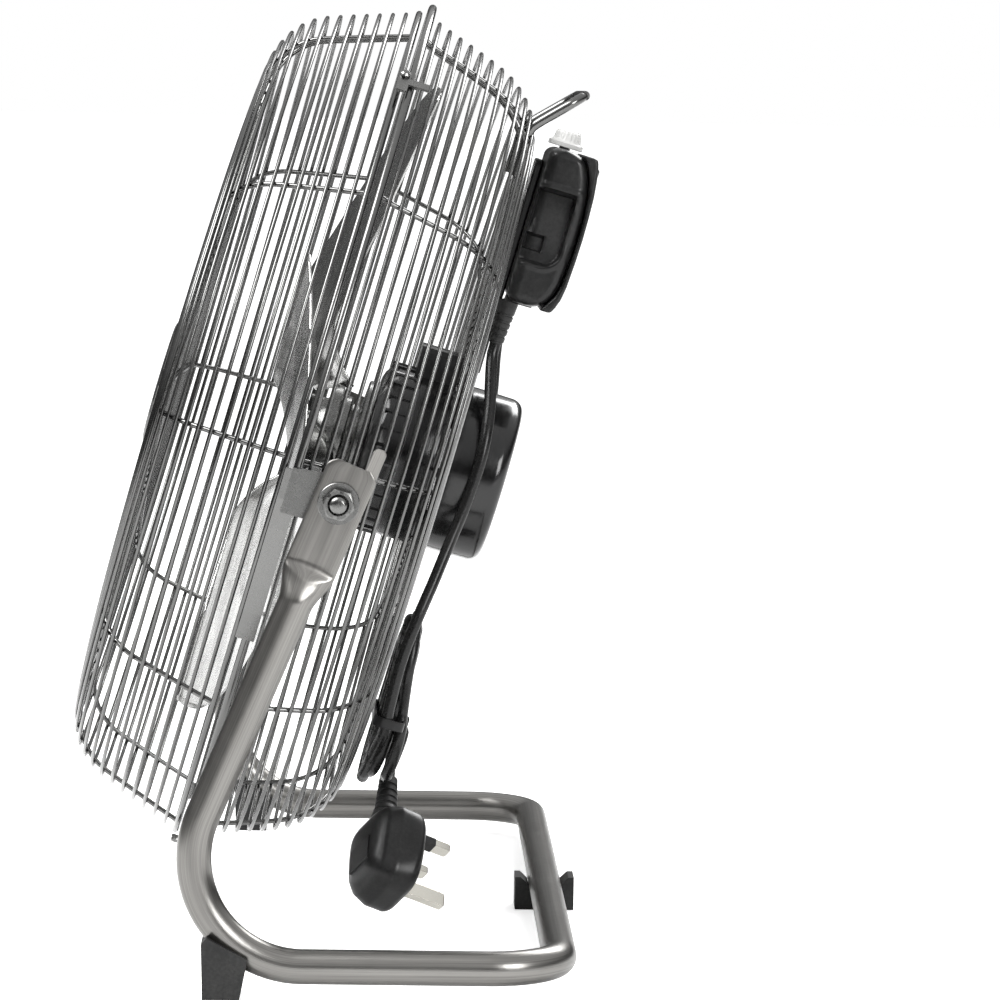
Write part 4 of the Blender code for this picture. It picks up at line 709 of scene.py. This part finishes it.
def make_plug():
    """The moulded three-pin plug: rounded sections from its face to its back, a ribbed neck, pins and sleeves."""
    depth = np.concatenate([[0, 0.25, 0.8, 2], np.linspace(3.5, 23, 20), [24.2, 24.8, 25]])
    width = np.interp(depth, (0, 3, 13, 20, 25), (42.4, 46, 45, 38, 27))
    low = np.interp(depth, (0, 3, 13, 20, 25), (-30.2, -32, -32.5, -30, -24))
    high = np.interp(depth, (0, 3, 13, 20, 25), (9.6, 12, 13, 11, 6))
    close = np.interp(depth, (0, 0.25, 0.8, 2), (0.955, 0.975, 0.99, 1))
    close = close * np.interp(depth, (23, 24.2, 24.8, 25), (1, 0.93, 0.85, 0.78))
    turn = round_turn(96)
    ring_x = np.sign(np.cos(turn)) * np.abs(np.cos(turn)) ** 0.42
    ring_z = np.sign(np.sin(turn)) * np.abs(np.sin(turn)) ** 0.5
    z = (high + low)[:, None] / 2 + (high - low)[:, None] / 2 * ring_z * close[:, None]
    foot = np.clip((-z - 8) / 24, 0, 1)
    x = width[:, None] / 2 * ring_x * close[:, None] * (1 - 0.24 * foot ** 1.4)
    grip = np.exp(-((depth[:, None] - 12) / 5.5) ** 2) * np.exp(-((z + 10) / 11) ** 2)
    x = x - np.sign(x) * 2.4 * grip * (np.abs(ring_x) > 0.8)
    body = sheets(plug_place(x, -depth[:, None] + 0 * x, z), caps=True)
    across, _, up = plug_axes()
    level = np.linspace(4, 38, 110)
    ring = (level > 17) & ((level % 4.0) < 1.5) & (level < 36)
    radius = np.interp(level, (4, 14, 20, 38), (7.4, 7.1, 5.7, 4.7)) - 0.7 * ring
    neck = lathe(np.stack([radius, level], -1), plug_place(0, -13, 0), up, across, 36)
    housing = piece("plug_housing", [body], "head", plastic(), replaces=["plug_body"], sharp=50)
    ribbed = piece("plug_neck", [neck], "head", rubber())
    back = block((-9, -25.6, -20), (9, -24.4, -6), plug_place, 0.4)
    cover = piece("plug_back", [back], "head", plastic())
    made = [housing, ribbed, cover]
    for word, x, z, wide, tall, long, sleeve in PINS:
        bar = [(x + i * wide / 2, z + j * tall / 2) for i, j in ((-1, -1), (1, -1), (1, 1), (-1, 1))]
        rows = []
        for y, draw in ((0.3, 1.0), (long - 1.2, 1.0), (long - 0.3, 0.8), (long, 0.6)):
            rows.append([(x + (a - x) * draw, y, z + (b - z) * draw) for a, b in bar])
        grid = np.array(rows, float)
        blade = sheets(plug_place(grid[..., 0], grid[..., 1], grid[..., 2]), caps=True)
        made.append(piece(f"pin_{word}", [blade], "head", nickel(), replaces=[f"plug_pin_{word}"],
                          bevel=0.25 * MM))
        if sleeve:
            half, rise = wide / 2 + 0.15, tall / 2 + 0.15
            sheath = block((x - half, 0.2, z - rise), (x + half, sleeve, z + rise), plug_place)
            made.append(piece(f"pin_sleeve_{word}", [sheath], "head", plastic(), bevel=0.2 * MM))
    return made


# --- Guards --------------------------------------------------------------------------------------

FRONT_SIDE = ((-3.6, 211.8), (-15.4, 207.9), (-28.7, 203.3), (-42, 198.6), (-50.5, 195), (-58.2, 188.8), (-63.5, 181),
              (-66.8, 172), (-68.6, 155), (-69.8, 134.4), (-71.2, 84), (-72, 30.4))
REAR_SIDE = ((2, 213.0), (8.5, 209.6), (18.4, 206.3), (31, 202.1), (43.1, 197.7), (50, 194.2), (56, 189.6),
             (61.8, 183.2), (66, 175.5), (68.4, 165), (70.2, 137.6), (71.2, 92), (71.2, 36.8))
GUARDS = (  # name, side profile, the rim's place and its wire
    ("front_guard", FRONT_SIDE, (-3.6, 211.8), 3.2),
    ("rear_guard", REAR_SIDE, (2, 216.3), 4.0),
)


def inset(profile, distance):
    """The profile moved square to itself towards the inside of the cage."""
    line = curved(profile, 60)
    ahead = unit(np.gradient(line, axis=0))
    normal = np.stack([-ahead[:, 1], ahead[:, 0]], -1)
    inwards = 0.4 * np.sign(-line[:, 0]) * normal[:, 0] - normal[:, 1]
    inward = np.where(inwards[:, None] > 0, normal, -normal)
    return line + inward * distance


class FAN_OT_guards(bpy.types.Operator):
    """Winds the two wire guards: evenly spaced hoops welded to ribs, with a heavy rim"""
    bl_idname = "fan.guards"
    bl_label = "Wire guards"

    def execute(self, context):
        sizes = context.scene.fan_sizes
        angles = math.radians(18) + math.tau * np.arange(sizes.rib_count) / sizes.rib_count
        ring, rib = sizes.ring_wire / MM, sizes.rib_wire / MM
        for name, side, rim, wire in GUARDS:
            far = travelled(curved(side, 400))[-1]
            stations = curved(side, int(round(far / (sizes.ring_pitch / MM))) + 1)[1:]
            parts = [hoops(stations, ring), hoops([rim], wire, 180, 12),
                     ribs(inset(side, (ring + rib) / 2 - 0.1), rib, angles)]
            piece(f"{name}_wires", parts, "head", bright_wire(), replaces=[name], sharp=80)
        return {"FINISHED"}


class FAN_OT_handle(bpy.types.Operator):
    """Bends the carrying handle on top of the rear guard"""
    bl_idname = "fan.handle"
    bl_label = "Handle"

    def execute(self, context):
        """A rod up both legs, back over its knees and across, with round corners."""
        rise = math.radians(46.8)
        side, knee, reach, bend = 46.4, (63.2, 173.2), 32.0, 9.6

        def above(x, far):
            """A point far millimetres up the slope from the knee."""
            return x, knee[0] + far * math.cos(rise), knee[1] + far * math.sin(rise)

        legs = [(side, knee[0], knee[1] - low) for low in (24, 10, 4)]
        legs += [(side, knee[0] + 0.9, knee[1] - 0.6), above(side, 4.5)]
        corner = [above(side - bend + bend * math.cos(a), reach - bend + bend * math.sin(a))
                  for a in np.linspace(0, math.pi / 2, 9)]
        half = legs + corner
        path = half + [(-x, y, z) for x, y, z in reversed(half)]
        line = curved(head_route(path), 150)
        piece("handle_rod", [rod(line, 2.4 * MM, BACKWARDS, 20)], "head", bright_wire(),
              replaces=["carry_handle"], sharp=80)
        return {"FINISHED"}


# --- Stand ---------------------------------------------------------------------------------------

class FAN_OT_stand(bpy.types.Operator):
    """Bends the stand's tube, with its pressed flat ends and stop fingers"""
    bl_idname = "fan.stand"
    bl_label = "Stand"

    def execute(self, context):
        path, down = self.path()
        grid = self.skin(path, down)
        parts = [sheets(grid, caps=True), self.finger(1), self.finger(-1)]
        piece("stand_frame", parts, "stand", brushed_tube(), replaces=["stand_tube"], sharp=40)
        return {"FINISHED"}

    def path(self):
        """The centre line from the +X plate round to the -X one, and how far each point is below its plate's chord."""
        side, base = STAND_HALF_WIDTH, TUBE_RADIUS + TUBE_FLOOR_GAP - PIVOT[2] / MM
        corner_y = base * math.tan(LEAN)
        turn = math.pi / 2 + LEAN
        tangent = FRONT_BEND * math.tan(turn / 2)
        drop = np.concatenate([np.linspace(18.4, -TUBE_STARTS, 40), np.linspace(-34, -56, 30)])
        first = np.stack([np.full(len(drop), side), drop * math.sin(LEAN), drop * math.cos(LEAN)], -1)
        centre = (corner_y + tangent, base + FRONT_BEND)
        angle = math.pi - LEAN + turn * np.linspace(0, 1, 40)
        second = np.stack([np.full(40, side), centre[0] + FRONT_BEND * np.cos(angle),
                           centre[1] + FRONT_BEND * np.sin(angle)], -1)
        angle = math.pi / 2 * np.linspace(0, 1, 28)
        third = np.stack([side + REAR_BEND * (np.cos(angle) - 1), STAND_REACH + REAR_BEND * (np.sin(angle) - 1),
                          np.full(28, base)], -1)
        upper = np.linspace(first[-1], second[0], 24)[1:-1]
        lower = np.linspace(second[-1], third[0], 14)[1:-1]
        half = np.vstack([first, upper, second, lower, third])
        bar = np.linspace(third[-1], third[-1] * (-1, 1, 1), 41)[1:-1]
        path = np.vstack([half, bar, half[::-1] * (-1, 1, 1)])
        far = 99.0  # well past where the sections still change
        below = np.concatenate([-drop - TUBE_STARTS, np.full(len(half) - len(drop), far)])
        return path, np.concatenate([below, np.full(len(bar), far), below[::-1]])

    def skin(self, path, below):
        """Sections across the path: a flat bar above the chord, a circle well below it.

        Between them the wall steps out over a lens as wide as the plate, so its two edges meet at the corners.
        """
        ahead = unit(np.gradient(path, axis=0))
        vertical = np.array([0.0, 0.0, 1.0])
        outward = np.stack([np.sign(path[:, 0]), 0 * path[:, 0], 0 * path[:, 0]], -1)
        flat = unit(np.cross(ahead, vertical))
        normal = np.where(np.abs(path[:, :1]) > np.abs(path[:, 0]).max() - 0.01, outward, flat)
        normal = unit(normal - (normal * ahead).sum(-1, keepdims=True) * ahead)
        across = np.cross(ahead, normal)
        turn = round_turn(56)
        w, h = np.cos(turn)[None, :], np.sin(turn)[None, :]
        taper = ease(below, 0, 17.6)[:, None]
        plate = 1 - ease(below, -1.5, 3.0)[:, None]
        half_width = PLATE_HALF_WIDTH + (TUBE_RADIUS - PLATE_HALF_WIDTH) * taper
        half_thick = PRESS_HALF_THICKNESS + (TUBE_RADIUS - PRESS_HALF_THICKNESS) * ease(below, 2, 16)[:, None]
        crown = np.where(below < -46.4, np.sqrt(np.clip(1 - ((-46.4 - below) / 5.6) ** 2 * 0.72, 0, 1)), 1.0)[:, None]
        bar_w = np.sign(w) * np.abs(w) ** 0.35
        wide = (plate * bar_w + (1 - plate) * w) * half_width * crown
        share = wide / (half_width * crown)
        lens = 1 - np.clip(share, -1, 1) ** 2
        step = ease(below[:, None] + 0 * share, -3.2 * lens - 0.01, 5.4 * lens + 0.01)
        bar_h = np.sign(h) * np.abs(h) ** 0.35 * PLATE_HALF_THICKNESS
        tube_h = np.sign(h) * np.sqrt(np.clip(1 - share ** 2, 0, 1)) * half_thick
        thick = bar_h * (1 - step) + tube_h * step
        round_part = ease(below, 14, 20)[:, None]
        wide = wide * (1 - round_part) + TUBE_RADIUS * w * round_part
        thick = thick * (1 - round_part) + TUBE_RADIUS * h * round_part
        return PIVOT + MM * (path[:, None] + wide[..., None] * across[:, None] + thick[..., None] * normal[:, None])

    def finger(self, side):
        """The stop: a tongue on the plate's rear edge, turned in towards the head."""
        level = np.linspace(FINGER_OUT, 29.6, 20)
        turn = round_turn(20)
        inner, outer = PLATE_HALF_WIDTH - 6.84, PLATE_HALF_WIDTH
        near = np.sign(np.cos(turn)) * np.abs(np.cos(turn)) ** 0.35
        deep = np.sign(np.sin(turn)) * np.abs(np.sin(turn)) ** 0.35
        round_top = np.sqrt(np.clip(1 - (np.clip(level - 27.2, 0, 3) / 2.6) ** 2 * 0.8, 0, 1))[:, None]
        y = (inner + outer) / 2 + near * (outer - inner) / 2 * round_top
        x = deep * PLATE_HALF_THICKNESS + 0 * y
        angle = math.radians(24) * side
        shift = y - inner
        x, y = x - shift * math.sin(angle), inner + shift * math.cos(angle)
        z = level[:, None] + 0 * y
        spot = np.stack([side * STAND_HALF_WIDTH + x, y * math.cos(LEAN) + z * math.sin(LEAN),
                         z * math.cos(LEAN) - y * math.sin(LEAN)], -1)
        return sheets(PIVOT + MM * spot, caps=True)


# --- Tilt joint ----------------------------------------------------------------------------------

class FAN_OT_joint(bpy.types.Operator):
    """Makes the washers, nuts and bolt ends of the tilt joint"""
    bl_idname = "fan.joint"
    bl_label = "Tilt joint"

    def execute(self, context):
        for sign, word in ((1, "left"), (-1, "right")):
            axis = ACROSS * sign
            side = UPWARDS
            washer = [(4.3, 229.6), (9.2, 229.6), (9.5, 229.9), (9.5, 230.9), (9.2, 231.2), (4.3, 231.2)]
            piece(f"tilt_washer_{word}", [lathe(washer, PIVOT, axis, side, 64, ring=True)], "stand",
                  plated(), replaces=[f"pivot_washer_{word}"])
            piece(f"tilt_nut_{word}", [self.nut(axis, side, 231.5, 238.0)], "stand", plated(),
                  replaces=[f"pivot_nut_{word}"], sharp=25)
            level = np.linspace(231.0, 240.2, 70)
            thread = 3.85 - 0.35 * np.abs(((level - 231) / 1.25) % 1 - 0.5) * 2
            shank = [(3.9, 219.2), (3.9, 230.9)] + list(zip(thread, level)) + [(3.1, 240.9), (2.5, 241.2), (0.4, 241.2)]
            cap = [(0.4, 213.9), (5.6, 214.2), (7.2, 215.2), (8, 216.8), (8, 218.0), (3.95, 218.1)]
            piece(f"tilt_bolt_{word}", [lathe(cap + shank, PIVOT, axis, side, 40)], "stand", plated(),
                  replaces=[f"pivot_bolt_{word}"])
        return {"FINISHED"}

    def nut(self, axis, side, low, high):
        """A hexagon whose outer corners are cut by a cone, round a plain bore."""
        turn = round_turn(144)
        flat = 6.5 / np.cos((turn + math.pi / 6) % (math.pi / 3) - math.pi / 6)
        cut = np.maximum(0, flat - 6.35) * math.tan(math.radians(30))
        spoke = np.cos(turn)[:, None] * side + np.sin(turn)[:, None] * np.cross(axis, side)
        rows = []
        for radius, level in ((4.1, low), (6.1, low), (flat, low + 0.4 * cut), (flat, high - cut), (6.3, high),
                              (4.9, high), (4.1, high - 0.8)):
            radius, level = radius + 0 * turn, level + 0 * turn
            rows.append(PIVOT + MM * (level[:, None] * axis + radius[:, None] * spoke))
        return sheets(np.array(rows), wrap_rows=True)


# --- Fan and motor -------------------------------------------------------------------------------

class FAN_OT_blades(bpy.types.Operator):
    """Makes the three swept blades, the stepped hub and the shaft nut"""
    bl_idname = "fan.blades"
    bl_label = "Blades and hub"

    def execute(self, context):
        for number in range(BLADES):
            grid = self.blade(BLADE_PHASE + math.tau * number / BLADES)
            piece(f"fan_blade_{number + 1}", [sheets(grid, wrap_columns=False)], "blades",
                  polished_blade(), replaces=[f"blade_{number + 1}"], sharp=60, wall=1.3 * MM)
        hub = [(4.3, 4), (14.6, 4), (15.2, 4.5), (16, 8), (17, 9), (23, 9.4), (24, 10.2), (24, 14), (23.4, 14.6),
               (20.6, 15), (20, 15.6), (20, 19.4), (19.4, 20), (17.2, 20.4), (16.8, 21), (16.8, 24), (17.4, 24.8),
               (29.6, 25.6), (30.4, 26.2), (30.4, 27.6), (30, 28), (4.3, 28)]
        piece("hub", [head_lathe(hub, 96, ring=True)], "blades", plated(), replaces=["blade_hub"])
        nut = [(0.3, -8.8), (2.6, -8.4), (4.6, -7.2), (5.9, -5.4), (6.6, -3), (7.2, -2.2), (7.2, 3.2), (6.8, 3.7),
               (4.4, 3.7), (4.4, -3.5), (0.3, -3.5)]
        piece("hub_nut", [head_lathe(nut, 48)], "blades", plated(), replaces=["blade_nut"])
        return {"FINISHED"}

    def blade(self, front):
        """The blade's middle surface, root to tip by front to rear edge.

        The tip edge runs out as a quarter sine from where the front edge turns. The angle grows evenly from
        front to rear, over a smaller spread near the root. The depth rises fast behind the front edge and
        flattens at the rear one, and shrinks towards the root, which sweeps back to the hub.
        """
        out = np.linspace(0, 1, 44)[:, None]
        back = np.linspace(0, 1, 40)[None, :]
        reach = BLADE_TURN + (BLADE_TIP - BLADE_TURN) * np.sin(math.pi / 2 * back)
        radius = BLADE_ROOT + (reach - BLADE_ROOT) * out
        inward = (radius - BLADE_ROOT) / (BLADE_TIP - BLADE_ROOT)
        spread = BLADE_SPREAD * np.minimum(1, 0.55 + 0.9 * inward)
        angle = front + BLADE_SPREAD / 2 + (back - 0.5) * spread
        root = np.maximum(0, 1 - inward / 0.22) ** 2
        share = BLADE_ROOT_SHARE + (1 - BLADE_ROOT_SHARE) * inward
        along = BLADE_FRONT + BLADE_DEPTH * (1 - (1 - back) ** 1.7) * share + BLADE_ROOT_SWEEP * root
        return head(radius * np.sin(angle), along, radius * np.cos(angle))


class FAN_OT_motor(bpy.types.Operator):
    """Makes the motor's shells, its mounting plate and the rear cover"""
    bl_idname = "fan.motor"
    bl_label = "Motor"

    def execute(self, context):
        front = [(11.3, 30.4), (30, 30.4), (34, 30.8), (37, 31.8), (39.6, 33.6), (41.4, 35.6), (42.4, 38),
                 (42.4, 49.2), (40, 49.2), (40, 37), (36, 32.8), (13.9, 32.8), (13.9, 38.2), (11.3, 38.2)]
        rear = [(11.3, 67.8), (11.3, 60), (13.9, 60), (13.9, 65.4), (40, 65.4), (40, 49.8), (42.4, 49.8),
                (42.4, 65.6), (41.6, 67.2), (40, 67.8)]
        plate = [(11, 72.4), (41.6, 72.4), (42, 72.8), (42, 73.6), (41.6, 74), (11, 74)]
        level = np.linspace(0, math.pi / 2, 12)
        shoulder = [(36 + 6 * math.cos(a), 96.4 + 6.4 * math.sin(a)) for a in level]
        cover = [(42, 74.3), (42.25, 78), (42.1, 90), *shoulder, (30, 103.0), (14, 103.1), (8.6, 103), (7.8, 103.4),
                 (7.2, 104.1), (0.4, 104.1), (0.4, 100.8), (33.6, 100.8), (40, 94.6), (40, 74.3)]
        fins = self.fins(33.5, 48.6, 42.2, 1.1, 30)
        black = enamel()
        piece("motor_front", [head_lathe(front, 96, ring=True), fins], "head", black,
              replaces=["motor_front_shell"])
        piece("motor_rear", [head_lathe(rear, 96, ring=True)], "head", black,
              replaces=["motor_rear_shell"])
        piece("motor_plate", [head_lathe(plate, 72, ring=True)], "head", black,
              replaces=["motor_mount_plate"])
        piece("rear_cover", [head_lathe(cover, 96)], "head", black, replaces=["motor_cover"],
              sharp=30)
        return {"FINISHED"}

    def fins(self, low, high, radius, proud, count):
        """Short cooling ribs round the shell, each a low bar along the axis."""
        turn = math.tau * np.arange(count) / count
        wide = 1.1 / radius
        across = np.array([-1, -0.6, 0.6, 1.0]) * wide
        lift = np.array([-0.6, proud, proud, -0.6])
        angle = turn[:, None, None] + across[None, None, :]
        level = np.array([low, low + 0.8, high - 0.8, high])[None, :, None]
        ends = np.array([0.3, 1, 1, 0.3])[None, :, None]
        reach = radius + lift[None, None, :] * ends
        grid = head(reach * np.sin(angle), level + 0 * angle, reach * np.cos(angle))
        return sheets(grid, wrap_columns=True, caps=True)


# --- Control box ---------------------------------------------------------------------------------

def box_skin(front, back, bottom, top, half, corner, rounding, rows, recess=None):
    """A rounded case: a rounded-rectangle outline (across by along) at each height.

    The outline draws in near the top and the bottom to round those edges. recess(along, up) presses the
    two side walls in.
    """
    up = np.concatenate([bottom + rounding * (1 - np.cos(np.linspace(0, math.pi / 2, 9))),
                         np.linspace(bottom + rounding, top - rounding, rows)[1:-1],
                         top - rounding * (1 - np.cos(np.linspace(math.pi / 2, 0, 9)))])
    lift = np.clip(np.maximum(bottom + rounding - up, up - (top - rounding)) / rounding, 0, 1)
    draw = rounding * (1 - np.sqrt(1 - lift ** 2))
    near, far = front(up) + draw, back(up) - draw
    wide = half - draw
    quarter = np.linspace(0, math.pi / 2, 8)
    long_side = np.linspace(-1, 1, 58)[1:-1]
    short_side = np.linspace(-1, 1, 26)[1:-1]
    cos, sin = np.cos(quarter), np.sin(quarter)
    r = np.minimum(corner, np.minimum((far - near) / 2 - 0.05, wide - 0.05))[:, None]
    middle, reach = ((near + far) / 2)[:, None], ((far - near) / 2)[:, None] - r
    side = wide[:, None] - r

    def flat(value, count):
        return np.broadcast_to(value, (len(up), count))

    long, short = len(long_side), len(short_side)
    xs = [side + r * cos, side * long_side[::-1], -side - r * sin, flat(-side - r, short),
          -side - r * cos, side * long_side, side + r * sin, flat(side + r, short)]
    ys = [middle + reach + r * sin, flat(middle + reach + r, long), middle + reach + r * cos,
          middle + reach * short_side[::-1], middle - reach - r * sin, flat(middle - reach - r, long),
          middle - reach - r * cos, middle + reach * short_side]
    x, y = np.hstack([np.broadcast_to(v, (len(up), v.shape[1])) for v in xs]), np.hstack(ys)
    z = up[:, None] + 0 * x
    if recess is not None:
        wall = ease(np.abs(x) / half, 0.86, 0.97)
        x = x - np.sign(x) * recess(y, z) * wall
    return sheets(head(x, y, z), caps=True)


BOX_LEVEL = np.array([89.6, 93, 98, 104, 117, 129, 139, 150, 158, 163, 166.5, 168.8])
BOX_SEAM = np.array([93.6, 96.2, 99.2, 101.0, 102.0, 102.2, 102.0, 101.0, 99.0, 97.0, 94.8, 92.4])
LID_BACK = np.array([99.8, 101.6, 103.2, 104.0, 104.6, 104.8, 104.6, 104.1, 103.2, 102.4, 101.4, 100.4])


class FAN_OT_box(bpy.types.Operator):
    """Moulds the control box, its lid, its recessed sides, the cord's hood and the speed knob"""
    bl_idname = "fan.box"
    bl_label = "Control box"

    def execute(self, context):
        plain = plastic()

        def recess(along, up):
            """A pocket in each side under a raised lip, its floor ramping out to a rounded lower rear corner."""
            corner = np.hypot(np.maximum(0, along - 87.5), np.maximum(0, 119.5 - up))
            pocket = within(along, 75.6, 77.2, 95.4, 97.0) * within(up, 110.2, 112, 146.6, 148.2)
            pocket = pocket * (1 - ease(corner, 7.6, 9.2))
            ramp = 2.6 + 5.2 * ease(up, 112, 146)
            slot = 3.2 * within(along, 76.6, 77.4, 86, 87) * within(up, 116.5, 117.5, 124, 125)
            lip = within(along, 75.2, 76.4, 97.4, 98.6) * within(up, 148.0, 149.0, 150.6, 151.6)
            foot = within(corner, 8.6, 9.6, 10.8, 11.8) * (1 - ease(up, 119, 126))
            return pocket * ramp + slot * pocket - 0.9 * lip - 0.7 * foot

        def seam(up):
            return np.interp(up, BOX_LEVEL, BOX_SEAM)

        def rear(up):
            return np.interp(up, BOX_LEVEL, LID_BACK)

        shell = box_skin(lambda up: 76.9 + 0 * up, seam, BOX_LOW, BOX_HIGH, BOX_HALF_WIDTH, 5.0, 5.0, 80, recess)
        hood = [(7.2 - 0.8 * t, 9 * t) for t in np.linspace(0, 1, 14)]
        collar = lathe(hood, head(19.2, 84.0, 89.0), UPWARDS, ACROSS, 36)
        piece("box_shell", [shell, collar], "head", plain, replaces=["control_box"], sharp=50)
        lid = box_skin(lambda up: seam(up) + 0.35, rear, BOX_LOW - 0.1, BOX_HIGH + 0.1, BOX_HALF_WIDTH + 0.2,
                       1.6, 1.2, 70)
        piece("box_lid", [lid], "head", plain, replaces=["control_lid"], sharp=50)
        strap = box_skin(lambda up: 72.4 + 0 * up, lambda up: 76.4 + 0 * up, 49.8, 160.6, 12, 1.0, 1.0, 40)
        piece("strap", [strap], "head", enamel(), replaces=["box_strap"], sharp=50)
        self.knob()
        return {"FINISHED"}

    def knob(self):
        """A turned knob with grip flutes and a pointer line on top."""
        level = np.array([0, 0.3, 2.2, 2.6, 3.2, 4, 6.6, 7.5, 8.1, 8.4])
        radius = np.array([8.5, 8.8, 8.8, 8.4, 7.4, 7.0, 6.6, 6.3, 5.6, 4.4])
        turn = round_turn(120)
        flute = 0.35 * (0.5 + 0.5 * np.cos(20 * turn))[None, :] * ((level > 2.8) & (level < 7.8))[:, None]
        reach = radius[:, None] - flute
        up = 169.6 + level[:, None] + 0 * turn
        top = sheets(head(reach * np.sin(turn), 84.8 + reach * np.cos(turn), up), caps=True)
        spindle = lathe([(2.8, 0), (2.8, 8.6)], head(0, 84.8, 161.2), UPWARDS, ACROSS, 24)
        mark = block((-0.8, 86.4, 177.6), (0.8, 90.6, 178.5), head, 0.15)
        piece("knob", [top, spindle, mark], "knob", pale(), replaces=["speed_knob"], sharp=40)


# --- Pieces kept from the frame -------------------------------------------------------------------

def numbered(stem, count):
    """The names stem_1 to stem_count."""
    return tuple(f"{stem}_{number}" for number in range(1, count + 1))


KEPT = (
    (plated, (*numbered("guard_clip", 4), *numbered("clip_screw", 4), "pivot_bracket_left", "pivot_bracket_right",
              "lid_screw_top", "lid_screw_bottom", "bearing_front", "bearing_rear", "motor_shaft", "centre_badge")),
    (rubber, ("front_foot_left", "front_foot_right", "rear_foot")),
    (plastic, ("tilt_disc_left", "tilt_disc_right", "capacitor_housing")),
    (pale, ("speed_switch",)),
    (copper, ("stator_windings",)),
    (steel_core, ("stator_core", "rotor")),
)


class FAN_OT_finishes(bpy.types.Operator):
    """Gives the frame's own pieces their finishes"""
    bl_idname = "fan.finishes"
    bl_label = "Finishes"

    def execute(self, context):
        for maker, names in KEPT:
            for name in names:
                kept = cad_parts[name]
                made = maker()
                if kept.material_slots:
                    kept.material_slots[0].material = made
                else:
                    kept.data.materials.append(made)
        return {"FINISHED"}


# --- Panel and registration ----------------------------------------------------------------------

class FAN_PT_panel(bpy.types.Panel):
    """Lists the fan's settings and its pieces"""
    bl_idname = "FAN_PT_panel"
    bl_label = "Floor Fan"
    bl_space_type = "VIEW_3D"
    bl_region_type = "UI"
    bl_category = "Fan"

    def draw(self, context):
        for group in (context.scene.fan_sizes, context.scene.fan_finishes, context.scene.fan_light):
            box = self.layout.box()
            for name in group.__annotations__:
                box.prop(group, name)
        for operator in STEPS:
            self.layout.operator(operator.bl_idname)


STEPS = (FAN_OT_stage, FAN_OT_cord, FAN_OT_guards, FAN_OT_handle, FAN_OT_stand, FAN_OT_joint, FAN_OT_blades,
         FAN_OT_motor, FAN_OT_box, FAN_OT_finishes)
CLASSES = (FAN_PG_sizes, FAN_PG_finishes, FAN_PG_light, *STEPS, FAN_PT_panel)


def register():
    for item in CLASSES:
        bpy.utils.register_class(item)
    bpy.types.Scene.fan_sizes = PointerProperty(type=FAN_PG_sizes)
    bpy.types.Scene.fan_finishes = PointerProperty(type=FAN_PG_finishes)
    bpy.types.Scene.fan_light = PointerProperty(type=FAN_PG_light)


def unregister():
    del bpy.types.Scene.fan_sizes, bpy.types.Scene.fan_finishes, bpy.types.Scene.fan_light
    for item in reversed(CLASSES):
        bpy.utils.unregister_class(item)


def main():
    register()
    for operator in STEPS:
        group, name = operator.bl_idname.split(".")
        getattr(getattr(bpy.ops, group), name)()


if __name__ == "__main__":
    main()
